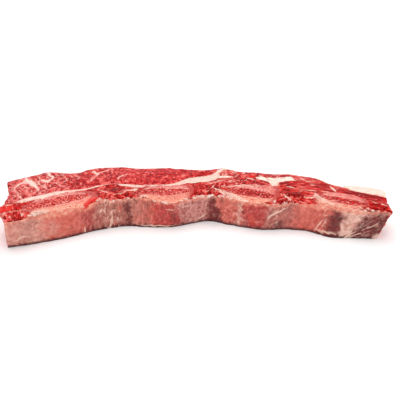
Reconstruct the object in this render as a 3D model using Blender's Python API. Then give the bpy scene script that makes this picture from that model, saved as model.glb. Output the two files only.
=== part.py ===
"""Raw beef short ribs: one strip sawn across four ribs of the chest wall, lying on a sawn face.

The chest membrane stands at the front (-Y), the four rib bones and the muscle between them come next,
then a seam of fat, and behind it the two outer muscles. Every piece runs through the whole slice.

The plan is drawn in two lengths, in millimetres: s runs along the strip round the bend of the chest
wall, and t runs outwards from the membrane. A warp that all the pieces share then bends the plan to
its arc, leans the ends and gives the slice its uneven height.
"""

import math

import bmesh
import bpy
import numpy as np

MM = 0.001
GAP = 0.3  # each piece stands back this far from the line that it shares with its neighbour

# The slice
THICKNESS = 19.0
BEND_RADIUS = 225.0  # of the chest wall, at the membrane
LEFT_END = -122.6
RIGHT_END = 121.0

# The chest wall: it swells over each rib and is hollow between the ribs
MEMBRANE_THICKNESS = 0.9
HOLLOW_DEPTH = 2.2
RIB_SWELLS = ((-108.0, 34.0, 5.2), (-19.0, 15.5, 8.5), (42.0, 18.0, 8.5), (88.0, 12.0, 1.4))
TAIL_START = 92.0  # past here the wall draws back to the right end
TAIL_SETBACK = 6.5

# The four ribs as sawn: where the middle is, half width, and how far the outer side leans right
RIBS = ((-88.8, 22.6, -1.5), (-22.4, 19.4, 0.0), (35.6, 17.6, 2.0), (91.4, 16.4, 1.0))
RIB_SQUARENESS = 2.25  # 2 is an ellipse
RIB_REACH = 1.06  # more than 1 presses the rib flat against the membrane and the seam
RIB_MARGIN = 0.025  # added to that reach for the edge of the muscle beside it
MARROW_SHARE = 0.72  # of the rib's radius
MARROW_DIP = 0.9
BONE_PROUD = 0.5

# The fat seam: its middle line (s, t) and its half width
SEAM = (
    (-120.0, 24.4, 0.7), (-115.0, 23.6, 1.2), (-110.5, 22.9, 2.7), (-105.0, 23.9, 3.3),
    (-98.0, 25.8, 3.5), (-88.0, 27.6, 2.5), (-78.0, 27.8, 2.1), (-70.0, 28.8, 1.5),
    (-64.0, 31.6, 1.0), (-57.0, 33.6, 0.9), (-51.5, 32.0, 1.2), (-47.0, 28.2, 2.2),
    (-42.0, 24.8, 2.9), (-35.0, 24.2, 2.3), (-25.0, 24.4, 1.9), (-16.0, 25.2, 2.3),
    (-8.0, 29.8, 4.4), (-1.0, 33.4, 6.0), (5.5, 37.2, 6.0), (9.6, 42.8, 3.6),
    (11.6, 48.4, 1.8), (14.0, 53.6, 1.7), (17.0, 57.8, 2.0),
)
SEAM_TURN = 0.815  # share of the seam's length where it turns outwards, off the ribs
RIB_COVER = (
    (11.6, 23.6), (15.0, 20.8), (20.0, 21.0), (27.0, 22.8), (36.0, 23.8), (44.0, 26.6), (51.0, 29.2),
    (58.0, 28.4), (66.0, 25.8), (74.0, 25.2), (84.0, 26.8), (94.0, 26.9), (103.0, 25.0), (110.0, 22.2),
    (119.0, 19.6),
)

# The outer side of the strip, left to right
BACK_LEFT = (
    (-113.8, 68.2), (-106.0, 69.4), (-99.0, 70.4), (-93.0, 74.6), (-87.0, 72.2), (-81.0, 67.0),
    (-76.0, 65.6), (-70.0, 68.2), (-60.0, 70.8), (-50.0, 69.4), (-42.0, 66.4), (-32.0, 63.2),
    (-20.0, 61.0), (-9.0, 57.8), (0.0, 55.4), (7.0, 55.6), (12.0, 58.0),
)
BACK_RIGHT = (
    (20.4, 57.2), (24.0, 54.4), (29.0, 52.6), (40.0, 53.0), (55.0, 53.8), (68.0, 53.6), (75.0, 50.0),
    (83.0, 44.6), (88.0, 43.6), (91.0, 40.2), (94.0, 36.6), (99.0, 35.2), (107.0, 34.6), (115.4, 34.0),
)
CAP_START = 0.735  # share of the right outer side where the fat cap begins
CAP_OUTER = ((90.0, 44.6), (95.0, 46.0), (101.0, 47.2), (107.0, 48.4), (111.4, 48.0), (113.8, 44.6))
LEFT_SIDE = ((-117.6, 34.0), (-115.6, 44.0), (-114.6, 56.0))
RIGHT_SIDE = ((117.4, 25.0), (116.4, 30.0))

# The tongue of muscle that hangs out at the left end, over the scrap beside the first rib
TONGUE_SPLIT = 0.5  # share of the way out where it parts from the scrap
TONGUE_REACH = 6.0
TONGUE_UNDERCUT = 11.5

# The cut of the slice: extra height over the wall (s, mm), and how the ends lean
EDGE_HEIGHTS = (
    (-124.0, -2.4), (-112.0, -2.0), (-98.0, -0.2), (-80.0, 0.6), (-60.0, 1.0), (-44.0, 1.0), (-30.0, -0.6),
    (-14.0, -1.2), (2.0, -0.2), (20.0, 0.6), (38.0, -0.2), (56.0, -0.3), (72.0, 0.6), (86.0, 1.2),
    (104.0, 1.4), (122.0, 1.0),
)
EDGE_FADE = 16.0  # the wall's own height and lean fade out over this depth
RIGHT_END_LEAN = 5.5
HEAD_WALL_LEAN = 5.0  # forwards at the top, at the left end
TAIL_WALL_LEAN = 5.4  # backwards at the top, towards the right end


def ease(x):
    """A smooth step from 0 to 1 as x goes from 0 to 1."""
    x = np.clip(x, 0.0, 1.0)
    return x * x * (3.0 - 2.0 * x)


def route(points, fine=20):
    """A smooth curve through the points, as a function of the share of its length, 0 to 1."""
    p = np.asarray(points, float)
    before = np.vstack([2 * p[0] - p[1], p[:-1]])
    after = np.vstack([p[1:], 2 * p[-1] - p[-2]])
    slope = (after - before) / 2.0
    x = np.linspace(0.0, 1.0, fine, endpoint=False)[:, None]
    runs = [
        a * (2 * x**3 - 3 * x**2 + 1) + b * (3 * x**2 - 2 * x**3)
        + da * (x**3 - 2 * x**2 + x) + db * (x**3 - x**2)
        for a, b, da, db in zip(p[:-1], p[1:], slope[:-1], slope[1:])
    ]
    line = np.vstack(runs + [p[-1:]])
    step = np.linalg.norm(np.diff(line[:, :2], axis=0), axis=1)
    share = np.concatenate([[0.0], np.cumsum(step)]) / step.sum()

    def at(u):
        u = np.asarray(u, float)
        return np.stack([np.interp(u, share, line[:, k]) for k in range(p.shape[1])], axis=-1)

    return at


def wall(s):
    """How far out the chest wall's front stands at s: hollow between the ribs, swollen over them."""
    swell = sum(rise * np.exp(-(((s - at) / width) ** 2)) for at, width, rise in RIB_SWELLS)
    tail = TAIL_SETBACK * np.clip((s - TAIL_START) / (RIGHT_END - TAIL_START), 0.0, None) ** 1.4
    return HOLLOW_DEPTH - swell + tail


def seam_edge(side, inset=0.0):
    """One edge of the fat seam: side is +1 outwards or -1 towards the ribs, inset widens it."""
    middle = route(SEAM)

    def at(u):
        u = np.asarray(u, float)
        here = middle(u)
        ahead = middle(np.clip(u + 0.004, 0, 1))[..., :2] - middle(np.clip(u - 0.004, 0, 1))[..., :2]
        ahead /= np.linalg.norm(ahead, axis=-1, keepdims=True)
        normal = np.stack([-ahead[..., 1], ahead[..., 0]], axis=-1)
        return here[..., :2] + side * normal * (here[..., 2:3] + inset)

    return at


def rib_cover_line():
    """The outer bound of the rib layer, s against t: the seam's inner edge, then a thin skin."""
    inner = seam_edge(-1)(np.linspace(0.0, SEAM_TURN, 500))
    skin = route(np.vstack([inner[-1], RIB_COVER]))(np.linspace(0.0, 1.0, 300))
    return np.vstack([inner, skin[1:]])


COVER_LINE = rib_cover_line()


def cover(s):
    """How far out the rib layer reaches at s."""
    return np.interp(s, COVER_LINE[:, 0], COVER_LINE[:, 1])


def in_rib_layer(s, h):
    """The plan point at s, the share h of the way from the membrane out to the cover."""
    low = wall(s) + MEMBRANE_THICKNESS + GAP
    return np.stack([s, low + (cover(s) - GAP - low) * h], axis=-1)


def rib_side(rib, side):
    """Where the muscle beside a rib ends, s against h: side is +1 right of the rib or -1 left of it."""
    middle, half_width, lean = rib

    def at(h):
        rise = np.abs(2.0 * h - 1.0) / (RIB_REACH + RIB_MARGIN)
        half = (half_width + 2 * GAP) * (1.0 - rise**RIB_SQUARENESS) ** (1.0 / RIB_SQUARENESS)
        return middle + lean * (2.0 * h - 1.0) + side * half

    return at


def layer_patch(west, east, low=0.0, high=1.0):
    """A plan region of the rib layer between two sides given as s against h."""

    def plan(u, v):
        h = low + (high - low) * (0.5 - 0.5 * np.cos(math.pi * v))
        return in_rib_layer(west(h) + (east(h) - west(h)) * u, h)

    return plan


def patch(south, north, west, east):
    """A plan region between four edge curves: u runs along, v runs outwards."""
    p00, p10, p01, p11 = south(0.0), south(1.0), north(0.0), north(1.0)

    def plan(u, v):
        u1, v1 = u[..., None], v[..., None]
        across = (1 - v1) * south(u) + v1 * north(u) + (1 - u1) * west(v) + u1 * east(v)
        corners = (1 - v1) * ((1 - u1) * p00 + u1 * p10) + v1 * ((1 - u1) * p01 + u1 * p11)
        return across - corners

    return plan


def straight(a, b):
    """The straight edge from a to b."""
    a, b = np.asarray(a, float), np.asarray(b, float)
    return lambda u: a + (b - a) * np.asarray(u, float)[..., None]


def follow(curve, s_from, s_to, offset):
    """The edge that keeps to a curve t(s) between two places along the strip."""

    def at(u):
        s = s_from + (s_to - s_from) * np.asarray(u, float)
        return np.stack([s, curve(s) + offset], axis=-1)

    return at


def part_of(edge, start, end):
    """A stretch of an edge, as an edge of its own."""
    return lambda u: edge(start + (end - start) * np.asarray(u, float))


def warp(s, t, w):
    """Puts a plan point at height share w on the real strip: returns x, y, z in millimetres."""
    near_wall = ease(1.0 - t / EDGE_FADE)
    height = THICKNESS + np.interp(s, *np.array(EDGE_HEIGHTS).T) * near_wall
    tail, head = ease((s - 66.0) / 26.0), ease((-96.0 - s) / 27.0)
    t = t + near_wall * (TAIL_WALL_LEAN * tail * (w - 1.0) + HEAD_WALL_LEAN * head * (0.4 - w))
    s = s - RIGHT_END_LEAN * ease((s - 78.0) / 44.0) * ease((36.0 - t) / 20.0) * (1.0 - w) ** 1.3
    angle, radius = s / BEND_RADIUS, BEND_RADIUS + t
    return radius * np.sin(angle), radius * np.cos(angle) - BEND_RADIUS, w * height


def swell(rise):
    """The relief of a muscle's cut face: it domes by rise between its edges."""
    return lambda u, v: rise * np.sin(math.pi * u) ** 0.5 * np.sin(math.pi * v) ** 0.5


def flat(u, v):
    return np.zeros(np.shape(u))


def block(name, counts, plan, relief=flat, lift=None):
    """A closed solid over a plan region: a grid wrapped round the unit cube (u along, v out, w up).

    relief raises the cut face at the top, and lift raises the underside, both in millimetres.
    """
    nu, nv, nw = counts
    bm = bmesh.new()
    found = {}

    def vertex(i, j, k):
        if (i, j, k) not in found:
            u, v, w = np.array(i / nu), np.array(j / nv), k / nw
            s, t = plan(u, v)
            x, y, z = warp(s, t, w)
            z = z + relief(u, v) * w
            if lift is not None:
                z = z + lift(s, t) * (1.0 - w)
            found[i, j, k] = bm.verts.new((x * MM, y * MM, z * MM))
        return found[i, j, k]

    def sheet(na, nb, corner):
        for a in range(na):
            for b in range(nb):
                ring = (corner(a, b), corner(a + 1, b), corner(a + 1, b + 1), corner(a, b + 1))
                bm.faces.new([vertex(*place) for place in ring])

    sheet(nu, nv, lambda a, b: (a, b, nw))
    sheet(nv, nu, lambda a, b: (b, a, 0))
    sheet(nu, nw, lambda a, b: (a, 0, b))
    sheet(nw, nu, lambda a, b: (b, nv, a))
    sheet(nw, nv, lambda a, b: (0, b, a))
    sheet(nv, nw, lambda a, b: (nu, a, b))
    mesh = bpy.data.meshes.new(name)
    bm.to_mesh(mesh)
    bm.free()
    obj = bpy.data.objects.new(name, mesh)
    bpy.context.scene.collection.objects.link(obj)
    return obj


def to_disc(u, v):
    """The unit square rounded to a disc: the share of the radius, and the direction as a unit vector."""
    a, b = 2.0 * u - 1.0, 2.0 * v - 1.0
    x, y = a * np.sqrt(1.0 - b * b / 2.0), b * np.sqrt(1.0 - a * a / 2.0)
    share, direction = np.hypot(x, y), np.arctan2(y, x)
    return share, np.cos(direction), np.sin(direction)


def material(name, colour, roughness):
    shader = bpy.data.materials.new(name)
    shader.use_nodes = True
    principled = shader.node_tree.nodes["Principled BSDF"]
    principled.inputs["Base Color"].default_value = (*colour, 1.0)
    principled.inputs["Roughness"].default_value = roughness
    principled.inputs["Metallic"].default_value = 0.0
    return shader


def make_rib(number, rib):
    """A rib: a hard rim that the saw leaves a little proud, round a sunken core of red marrow."""
    middle, half_width, lean = rib

    def plan(u, v):
        share, x, y = to_disc(u, v)
        power = RIB_SQUARENESS
        radius = share * (np.abs(x) ** power + np.abs(y) ** power) ** (-1.0 / power)
        h = np.clip(0.5 + 0.5 * RIB_REACH * radius * y, 0.0, 1.0)
        return in_rib_layer(middle + lean * (2.0 * h - 1.0) + half_width * radius * x, h)

    def relief(u, v):
        share = to_disc(u, v)[0]
        core = np.clip(1.0 - (share / MARROW_SHARE) ** 2, 0.0, None)
        return BONE_PROUD * ease((1.0 - share) / 0.15) - (MARROW_DIP + BONE_PROUD) * ease(core)

    return block(f"rib_{number}", (14, 12, 2), plan, relief)


def make_between_ribs(number, left, right):
    """The muscle between two ribs, from the membrane to the seam."""
    plan = layer_patch(rib_side(left, +1), rib_side(right, -1))
    return block(f"rib_muscle_{number}", (18, 8, 2), plan, swell(-0.6))


def make_left_end():
    """The scrap of rib muscle left of the first rib, and the tongue that hangs out above it."""
    gap = 0.015  # between the two, as a share of the way out
    scrap = layer_patch(lambda h: LEFT_END + 0.0 * h, rib_side(RIBS[0], -1), 0.0, TONGUE_SPLIT - gap)

    def tip(h):
        across = (h - TONGUE_SPLIT) / (1.0 - TONGUE_SPLIT)
        return LEFT_END - TONGUE_REACH * np.sqrt(np.clip(4.0 * across * (1.0 - across), 0.0, 1.0))

    def undercut(s, t):
        return TONGUE_UNDERCUT * ease((LEFT_END + 3.0 - s) / (TONGUE_REACH + 1.0))

    tongue = layer_patch(tip, rib_side(RIBS[0], -1), TONGUE_SPLIT + gap, 1.0)
    return (
        block("rib_muscle_0", (6, 7, 2), scrap, swell(-0.8)),
        block("end_tongue", (8, 7, 2), tongue, swell(-0.4), undercut),
    )


def make_right_end():
    """The ragged rib muscle right of the last rib, which leans out at the top."""
    plan = layer_patch(rib_side(RIBS[3], +1), lambda h: RIGHT_END - 2.0 * h + 6.0 * h * (1.0 - h))
    return block("rib_muscle_4", (10, 9, 3), plan, swell(-0.5))


def make_seam():
    inner, outer = seam_edge(-1), seam_edge(+1)
    plan = patch(inner, outer, straight(inner(0.0), outer(0.0)), straight(inner(1.0), outer(1.0)))
    return block("fat_seam", (88, 2, 2), plan, swell(0.4))


def make_long_muscle():
    """The marbled outer muscle on the left, which thins to a wedge where the seam comes out."""
    inner, outer = seam_edge(+1, 2 * GAP), route(BACK_LEFT)
    west = route(np.vstack([inner(0.0), LEFT_SIDE, outer(0.0)]))
    plan = patch(inner, outer, west, straight(inner(1.0), outer(1.0)))
    return block("long_muscle", (52, 8, 2), plan, swell(0.9))


def make_flank_muscle(outer):
    """The outer muscle on the right of the seam."""
    beside_seam = seam_edge(-1, 2 * GAP)
    start = float(beside_seam(SEAM_TURN + 0.01)[0])
    inner = follow(cover, start, RIB_COVER[-1][0], 2 * GAP)
    west = route(np.vstack([inner(0.0), beside_seam(np.linspace(SEAM_TURN + 0.025, 0.99, 9)), outer(0.0)]))
    east = route(np.vstack([inner(1.0), RIGHT_SIDE, outer(1.0)]))
    return block("flank_muscle", (44, 8, 2), patch(inner, outer, west, east), swell(0.7))


def make_fat_cap(side):
    """The slab of outer fat at the right back corner, on the stretch of the outer side given."""
    outer = route(CAP_OUTER)

    def inner(u):
        return side(u) + (1.2 * GAP, 1.6 * GAP)

    plan = patch(inner, outer, straight(inner(0.0), outer(0.0)), straight(inner(1.0), outer(1.0)))
    return block("fat_cap", (10, 4, 2), plan, swell(0.5))


def make_membrane():
    """The chest membrane: one thin skin over the ribs and the muscle between them."""
    inner = follow(wall, LEFT_END, RIGHT_END, MEMBRANE_THICKNESS)
    outer = follow(wall, LEFT_END, RIGHT_END, 0.0)
    plan = patch(outer, inner, straight(outer(0.0), inner(0.0)), straight(outer(1.0), inner(1.0)))
    return block("membrane", (84, 1, 1), plan, lift=lambda s, t: 0.5)


def main():
    for obj in list(bpy.data.objects):
        bpy.data.objects.remove(obj)
    bone = material("sawn bone", (0.75, 0.28, 0.20), 0.5)
    lean = material("raw lean beef", (0.55, 0.06, 0.05), 0.4)
    fat = material("raw beef fat", (0.90, 0.66, 0.52), 0.45)
    skin = material("chest membrane", (0.58, 0.22, 0.17), 0.3)
    pieces = [(make_rib(n, rib), bone) for n, rib in enumerate(RIBS, 1)]
    for n in (1, 2, 3):
        pieces.append((make_between_ribs(n, RIBS[n - 1], RIBS[n]), lean))
    pieces += [(piece, lean) for piece in make_left_end()]
    back_right = route(BACK_RIGHT)
    pieces += [(make_right_end(), lean), (make_long_muscle(), lean), (make_flank_muscle(back_right), lean)]
    pieces += [(make_seam(), fat), (make_fat_cap(part_of(back_right, CAP_START, 1.0)), fat)]
    pieces.append((make_membrane(), skin))

    corners = np.array([v.co for piece, _ in pieces for v in piece.data.vertices])
    middle = (corners.min(axis=0) + corners.max(axis=0)) / 2.0
    for piece, shader in pieces:
        piece.location = (-middle[0], -middle[1], 0.0)
        piece.data.materials.append(shader)
        piece.data.shade_smooth()
        piece.data.set_sharp_from_angle(angle=math.radians(40))


main()
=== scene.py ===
"""Raw beef short ribs, one strip sawn across four ribs, dressed for a white studio table.

The strip is laid out in plan as it grew: s runs along the chest wall in millimetres, t outwards from
the chest membrane, and w up through the slice. Every piece is one closed surface over its own patch
of that plan, so that neighbours meet along shared lines.
"""

import math

import bpy
import numpy as np
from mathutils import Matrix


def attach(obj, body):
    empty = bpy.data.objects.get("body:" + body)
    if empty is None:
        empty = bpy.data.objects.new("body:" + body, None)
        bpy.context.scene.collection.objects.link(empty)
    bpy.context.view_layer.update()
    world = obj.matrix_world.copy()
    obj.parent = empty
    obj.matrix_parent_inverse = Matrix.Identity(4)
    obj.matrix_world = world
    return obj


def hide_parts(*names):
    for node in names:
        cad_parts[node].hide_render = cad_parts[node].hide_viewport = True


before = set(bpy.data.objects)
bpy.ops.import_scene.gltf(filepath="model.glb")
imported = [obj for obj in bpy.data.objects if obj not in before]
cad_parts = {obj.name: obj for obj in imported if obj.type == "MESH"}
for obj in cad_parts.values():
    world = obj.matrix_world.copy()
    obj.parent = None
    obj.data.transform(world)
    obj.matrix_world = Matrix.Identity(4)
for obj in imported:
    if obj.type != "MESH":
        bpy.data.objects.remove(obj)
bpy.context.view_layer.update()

# The fat seam: hard white fat between the ribs and the outer muscles. It grew along the outside of
# the ribs and turns outwards in the middle, so its line also gives every other piece its place.
SEAM = (
    (-120, 24.4, 0.7), (-115, 23.6, 1.2), (-110.5, 22.9, 2.7), (-105, 23.9, 3.3), (-98, 25.8, 3.5),
    (-88, 27.6, 2.5), (-78, 27.8, 2.1), (-70, 28.8, 1.5), (-64, 31.6, 1), (-57, 33.6, 0.9),
    (-51.5, 32, 1.2), (-47, 28.2, 2.2), (-42, 24.8, 2.9), (-35, 24.2, 2.3), (-25, 24.4, 1.9),
    (-16, 25.2, 2.3), (-8, 29.8, 4.4), (-1, 33.4, 6), (5.5, 37.2, 6), (9.6, 42.8, 3.6), (11.6, 48.4, 1.8),
    (14, 53.6, 1.7), (17, 57.8, 2),
)
SEAM_TURN = 0.815
RIB_COVER = (
    (11.6, 23.6), (15, 20.8), (20, 21), (27, 22.8), (36, 23.8), (44, 26.6), (51, 29.2), (58, 28.4),
    (66, 25.8), (74, 25.2), (84, 26.8), (94, 26.9), (103, 25), (110, 22.2), (119, 19.6),
)
LEFT_CORNER = -124.6
RIGHT_END = 121.0
THICKNESS = 19.0
BEND_RADIUS = 225.0
STRIP_MIDDLE = (-5.717, 12.603)  # of the bent plan, in mm: the part's own origin lies under it
MM = 0.001


def ease(x):
    """3x^2 - 2x^3 with x held between 0 and 1: a smooth step."""
    x = np.clip(x, 0.0, 1.0)
    return x * x * (3.0 - 2.0 * x)


def points_of(*coordinates):
    """Coordinates set side by side, as points."""
    return np.stack(coordinates, axis=-1)


def read_at(s, pairs):
    """The value at s, read straight between (place, value) pairs."""
    return np.interp(s, *np.array(pairs).T)


def route(points, fine=20):
    """A Hermite curve whose slope at each point is half the way from the one before to the one after,
    as a function of the share of its length."""
    p = np.asarray(points, float)
    before = np.vstack([2 * p[0] - p[1], p[:-1]])
    after = np.vstack([p[1:], 2 * p[-1] - p[-2]])
    slope = (after - before) / 2.0
    x = np.linspace(0.0, 1.0, fine, endpoint=False)[:, None]
    runs = [
        a * (2 * x**3 - 3 * x**2 + 1) + b * (3 * x**2 - 2 * x**3)
        + da * (x**3 - 2 * x**2 + x) + db * (x**3 - x**2)
        for a, b, da, db in zip(p[:-1], p[1:], slope[:-1], slope[1:])
    ]
    line = np.vstack(runs + [p[-1:]])
    step = np.linalg.norm(np.diff(line[:, :2], axis=0), axis=1)
    share = np.concatenate([[0.0], np.cumsum(step)]) / step.sum()

    def at(u):
        return np.stack([np.interp(u, share, line[:, k]) for k in range(p.shape[1])], axis=-1)

    return at


def seam_edge(side):
    """The seam's middle line moved sideways by its half width, outwards (+1) or towards the ribs (-1)."""
    middle = route(SEAM)

    def at(u):
        u = np.asarray(u, float)
        here = middle(u)
        ahead = middle(np.clip(u + 0.004, 0, 1))[..., :2] - middle(np.clip(u - 0.004, 0, 1))[..., :2]
        ahead /= np.linalg.norm(ahead, axis=-1, keepdims=True)
        normal = points_of(-ahead[..., 1], ahead[..., 0])
        return here[..., :2] + side * normal * here[..., 2:3]

    return at


def patch(south, north, west, east):
    """The Coons patch between four edges: both pairs blended across, less the corners' own blend."""
    p00, p10, p01, p11 = south(0.0), south(1.0), north(0.0), north(1.0)

    def plan(u, v):
        u1, v1 = u[..., None], v[..., None]
        across = (1 - v1) * south(u) + v1 * north(u) + (1 - u1) * west(v) + u1 * east(v)
        corners = (1 - v1) * ((1 - u1) * p00 + u1 * p10) + v1 * ((1 - u1) * p01 + u1 * p11)
        return across - corners

    return plan


def straight(a, b):
    """The straight edge from a to b."""

    def at(u):
        return a + (b - a) * np.asarray(u, float)[..., None]

    return at


def between(south, north):
    """The patch between two edges, its ends straight."""
    return patch(south, north, straight(south(0.0), north(0.0)), straight(south(1.0), north(1.0)))


RIB_SWELLS = ((-108, 34, 5.2), (-19, 15.5, 8.5), (42, 18, 8.5), (88, 12, 1.4))


def wall(s):
    """The chest wall's front, t against s: a level less one bell curve for each rib, and a tail that
    draws back to the right end."""
    swell = sum(rise * np.exp(-(((s - at) / width) ** 2)) for at, width, rise in RIB_SWELLS)
    return 2.2 - swell + 6.5 * np.clip((s - 92.0) / (RIGHT_END - 92.0), 0.0, None) ** 1.4


def follow(curve, s_from, s_to, offset):
    """The edge that keeps to a curve t(s), offset outwards."""

    def at(u):
        s = s_from + (s_to - s_from) * np.asarray(u, float)
        return points_of(s, curve(s) + offset)

    return at


inner_edge = seam_edge(-1)(np.linspace(0.0, SEAM_TURN, 500))
cover_rest = route(np.vstack([inner_edge[-1], RIB_COVER]))(np.linspace(0.0, 1.0, 300))
cover_line = np.vstack([inner_edge, cover_rest[1:]])
MEMBRANE = 0.9


def cover(s):
    """The outer bound of the rib layer, t against s."""
    return np.interp(s, cover_line[:, 0], cover_line[:, 1])


def in_rib_layer(s, h):
    """The plan point at s, the share h of the way from the membrane's inside to the cover."""
    low = wall(s) + MEMBRANE
    return points_of(s, low + (cover(s) - low) * h)


def drift(points, size, seed, waves=26):
    """Smooth noise of about -1 to 1: the sum of cosine waves of seeded random direction and phase,
    their lengths spread round twice the size of its lumps."""
    draw = np.random.default_rng(seed)
    way = draw.normal(size=(waves, points.shape[1]))
    way *= (math.pi / size * draw.uniform(0.6, 1.5, waves) / np.linalg.norm(way, axis=1))[:, None]
    swing = np.zeros(len(points))
    for one, start in zip(way, draw.uniform(0.0, 2.0 * math.pi, waves)):
        swing += np.cos(points @ one + start)
    return swing / math.sqrt(2.0 * waves)


TONGUE_SPLIT = 0.5


def tongue_tip(h):
    """The left end's s against h: it draws back from the membrane's corner over the inner half, and a
    half round juts out over the outer half."""
    across = (h - TONGUE_SPLIT) / (1.0 - TONGUE_SPLIT)
    drawn_back = LEFT_CORNER + 4.6 * np.minimum(h, TONGUE_SPLIT)
    return drawn_back - 6.3 * np.sqrt(np.clip(4.0 * across * (1.0 - across), 0.0, 1.0))


def right_tip(h):
    """The right end's s against h: a shallow bow."""
    return RIGHT_END - 2.0 * h + 6.0 * h * (1.0 - h)


BACK_LEFT = (
    (-113.8, 68.2), (-106, 69.4), (-99, 70.4), (-93, 74.6), (-87, 72.2), (-81, 67), (-76, 65.6),
    (-70, 68.2), (-60, 70.8), (-50, 69.4), (-42, 66.4), (-32, 63.2), (-20, 61), (-9, 57.8), (0, 55.4),
    (7, 55.6), (12, 58),
)
BACK_RIGHT = (
    (20.4, 57.2), (24, 54.4), (29, 52.6), (40, 53), (55, 53.8), (68, 53.6), (75, 50), (83, 44.6),
    (88, 43.6), (91, 40.2), (94, 36.6), (99, 35.2), (107, 34.6), (115.4, 34),
)
CAP_START = 0.735
CAP_OUTER = ((90, 44.6), (95, 46), (101, 47.2), (107, 48.4), (111.4, 48), (113.8, 44.6))
LEFT_SIDE = ((-117.6, 34), (-115.6, 44), (-114.6, 56))
RIGHT_SIDE = ((117.4, 25), (116.4, 30))

rise = np.linspace(0.0, 1.0, 60)
rim_runs = (
    follow(wall, LEFT_CORNER, RIGHT_END, 0.0)(np.linspace(0, 1, 420)),
    in_rib_layer(right_tip(rise), rise)[:-4],
    route(RIGHT_SIDE)(rise)[::6],
    route(CAP_OUTER)(rise[::-1]),
    route(BACK_RIGHT)(CAP_START * np.linspace(1, 0, 130)),
    route(BACK_LEFT)(np.linspace(1, 0, 220)),
    route(LEFT_SIDE)(rise[::-1]),
    in_rib_layer(tongue_tip(rise), rise)[::-1],
)
rim = np.vstack(rim_runs)
rim_step = np.roll(rim, -2, axis=0) - np.roll(rim, 2, axis=0)
rim_step /= np.linalg.norm(rim_step, axis=1, keepdims=True) + 1e-9
rim_out = points_of(rim_step[:, 1], -rim_step[:, 0])


def nearest(places, line, radius=0.0):
    """Each place's least distance to a line of points, less the line's half width there, and which
    point that was; worked out a few thousand places at a time."""
    reach = np.empty(len(places))
    which = np.empty(len(places), int)
    for start in range(0, len(places), 4000):
        some = slice(start, start + 4000)
        gap = np.hypot(*(places[some, None, :] - line[None, :, :]).transpose(2, 0, 1)) - radius
        which[some] = gap.argmin(axis=1)
        reach[some] = gap.min(axis=1)
    return reach, which


EDGE_HEIGHTS = (  # of the cut face's front edge, over the slice's own height
    (-124, -0.2), (-114, -0.3), (-108, 0.9), (-96, 0.2), (-84, -0.2), (-76, -1), (-70, 0.4), (-64, 1.2),
    (-56, 0.1), (-48, 0.5), (-42, 1.1), (-28, -0.4), (-14, -1.1), (-2, 0.3), (10, 0), (20, 0.9),
    (27, -0.3), (42, 0.3), (54, -1.2), (68, -0.6), (80, 0.6), (92, 0.9), (104, 0.5), (110, -0.9),
    (119, 0.8), (123, 0.5),
)
FOOT_DRIFT = (  # how far the wall's foot stands back from the wall's own line
    (-124, -0.2), (-112, -1.5), (-104, -1), (-92, -2.5), (-82, -2.4), (-72, -1.2), (-50, -0.8), (-40, -3),
    (-32, -2.2), (-23, 0.9), (-12, 1.3), (-4, 0.7), (8, 1.6), (19, -1.7), (28, -1.2), (36, 0.5),
    (46, 0.5), (58, -0.1), (66, -1.4), (80, 0.3), (94, 1.4), (108, 1.8), (120, 2.2),
)


def lay(s, t, w, relief, lift, swell):
    """Takes plan points to the real strip, in metres. The height is w times the slice's own height
    plus the relief; the outer rim is rounded over, swells between the saw cuts and is rough; the ends
    and the wall lean; and the whole bends to an arc."""
    plan = points_of(s, t)
    reach, which = nearest(plan, rim)
    reach = np.maximum(reach, 0.0)
    near_wall = ease(1.0 - t / 16.0)
    z = THICKNESS + read_at(s, EDGE_HEIGHTS) * near_wall
    solid = points_of(s, t, w * z)
    round_over = 0.6 + 1.1 * ease((t - 4.0) / 20.0)
    missing = np.clip(1.0 - reach / round_over, 0.0, 1.0)
    shoulder = round_over * (1.0 - np.sqrt(1.0 - missing**2))
    ground = 0.45 * drift(plan, 13.0, 3) + 0.16 * drift(plan, 4.0, 5) + 0.07 * drift(plan, 1.6, 7)
    top = z + relief + ground - shoulder
    low = lift + (0.15 + 0.45 * ease(t / 12.0)) * shoulder
    height = low + (top - low) * w
    fade = np.exp(-reach / 2.2)
    rough = 1.0 - 0.6 * ease(1.0 - (t - wall(s)) / 3.0)
    side = 0.9 * (1.0 - (2.0 * w - 1.0) ** 2) * rim_out[which, 1] ** 2 + swell
    side += rough * (0.34 * drift(solid, 3.6, 11) + 0.14 * drift(solid, 1.5, 13))
    shift_s = rough * (0.34 * drift(solid, 4.2, 17) + 0.16 * drift(solid, 1.7, 19))
    shift_t = rough * (0.34 * drift(solid, 4.2, 23) + 0.16 * drift(solid, 1.7, 29))
    s = s + rim_out[which, 0] * side * fade + shift_s
    t = t + rim_out[which, 1] * side * fade + shift_t
    tail, head = ease((s - 66.0) / 26.0), ease((-96.0 - s) / 27.0)
    lean = 5.4 * tail * (w - 1.0) + 5.0 * head * (0.4 - w) + (1.0 - w) * read_at(s, FOOT_DRIFT)
    t = t + near_wall * lean
    s = s - 5.5 * ease((s - 78.0) / 44.0) * ease((36.0 - t) / 20.0) * (1.0 - w)
    angle, radius = s / BEND_RADIUS, BEND_RADIUS + t
    x = radius * np.sin(angle) - STRIP_MIDDLE[0]
    y = radius * np.cos(angle) - BEND_RADIUS - STRIP_MIDDLE[1]
    return points_of(x, y, height) * MM


def quads_of(grid):
    """The four-cornered faces between the rows and columns of a grid of point numbers."""
    return np.stack([grid[:-1, :-1], grid[1:, :-1], grid[1:, 1:], grid[:-1, 1:]], axis=-1).reshape(-1, 4)


def hold(mesh, field, value):
    """Gives the mesh a field: for each point a number, or a vector, that its material reads."""
    kind, key = ("FLOAT_VECTOR", "vector") if np.ndim(value) == 2 else ("FLOAT", "value")
    mesh.attributes.new(field, kind, "POINT").data.foreach_set(key, value.astype(np.float32).ravel())


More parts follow.
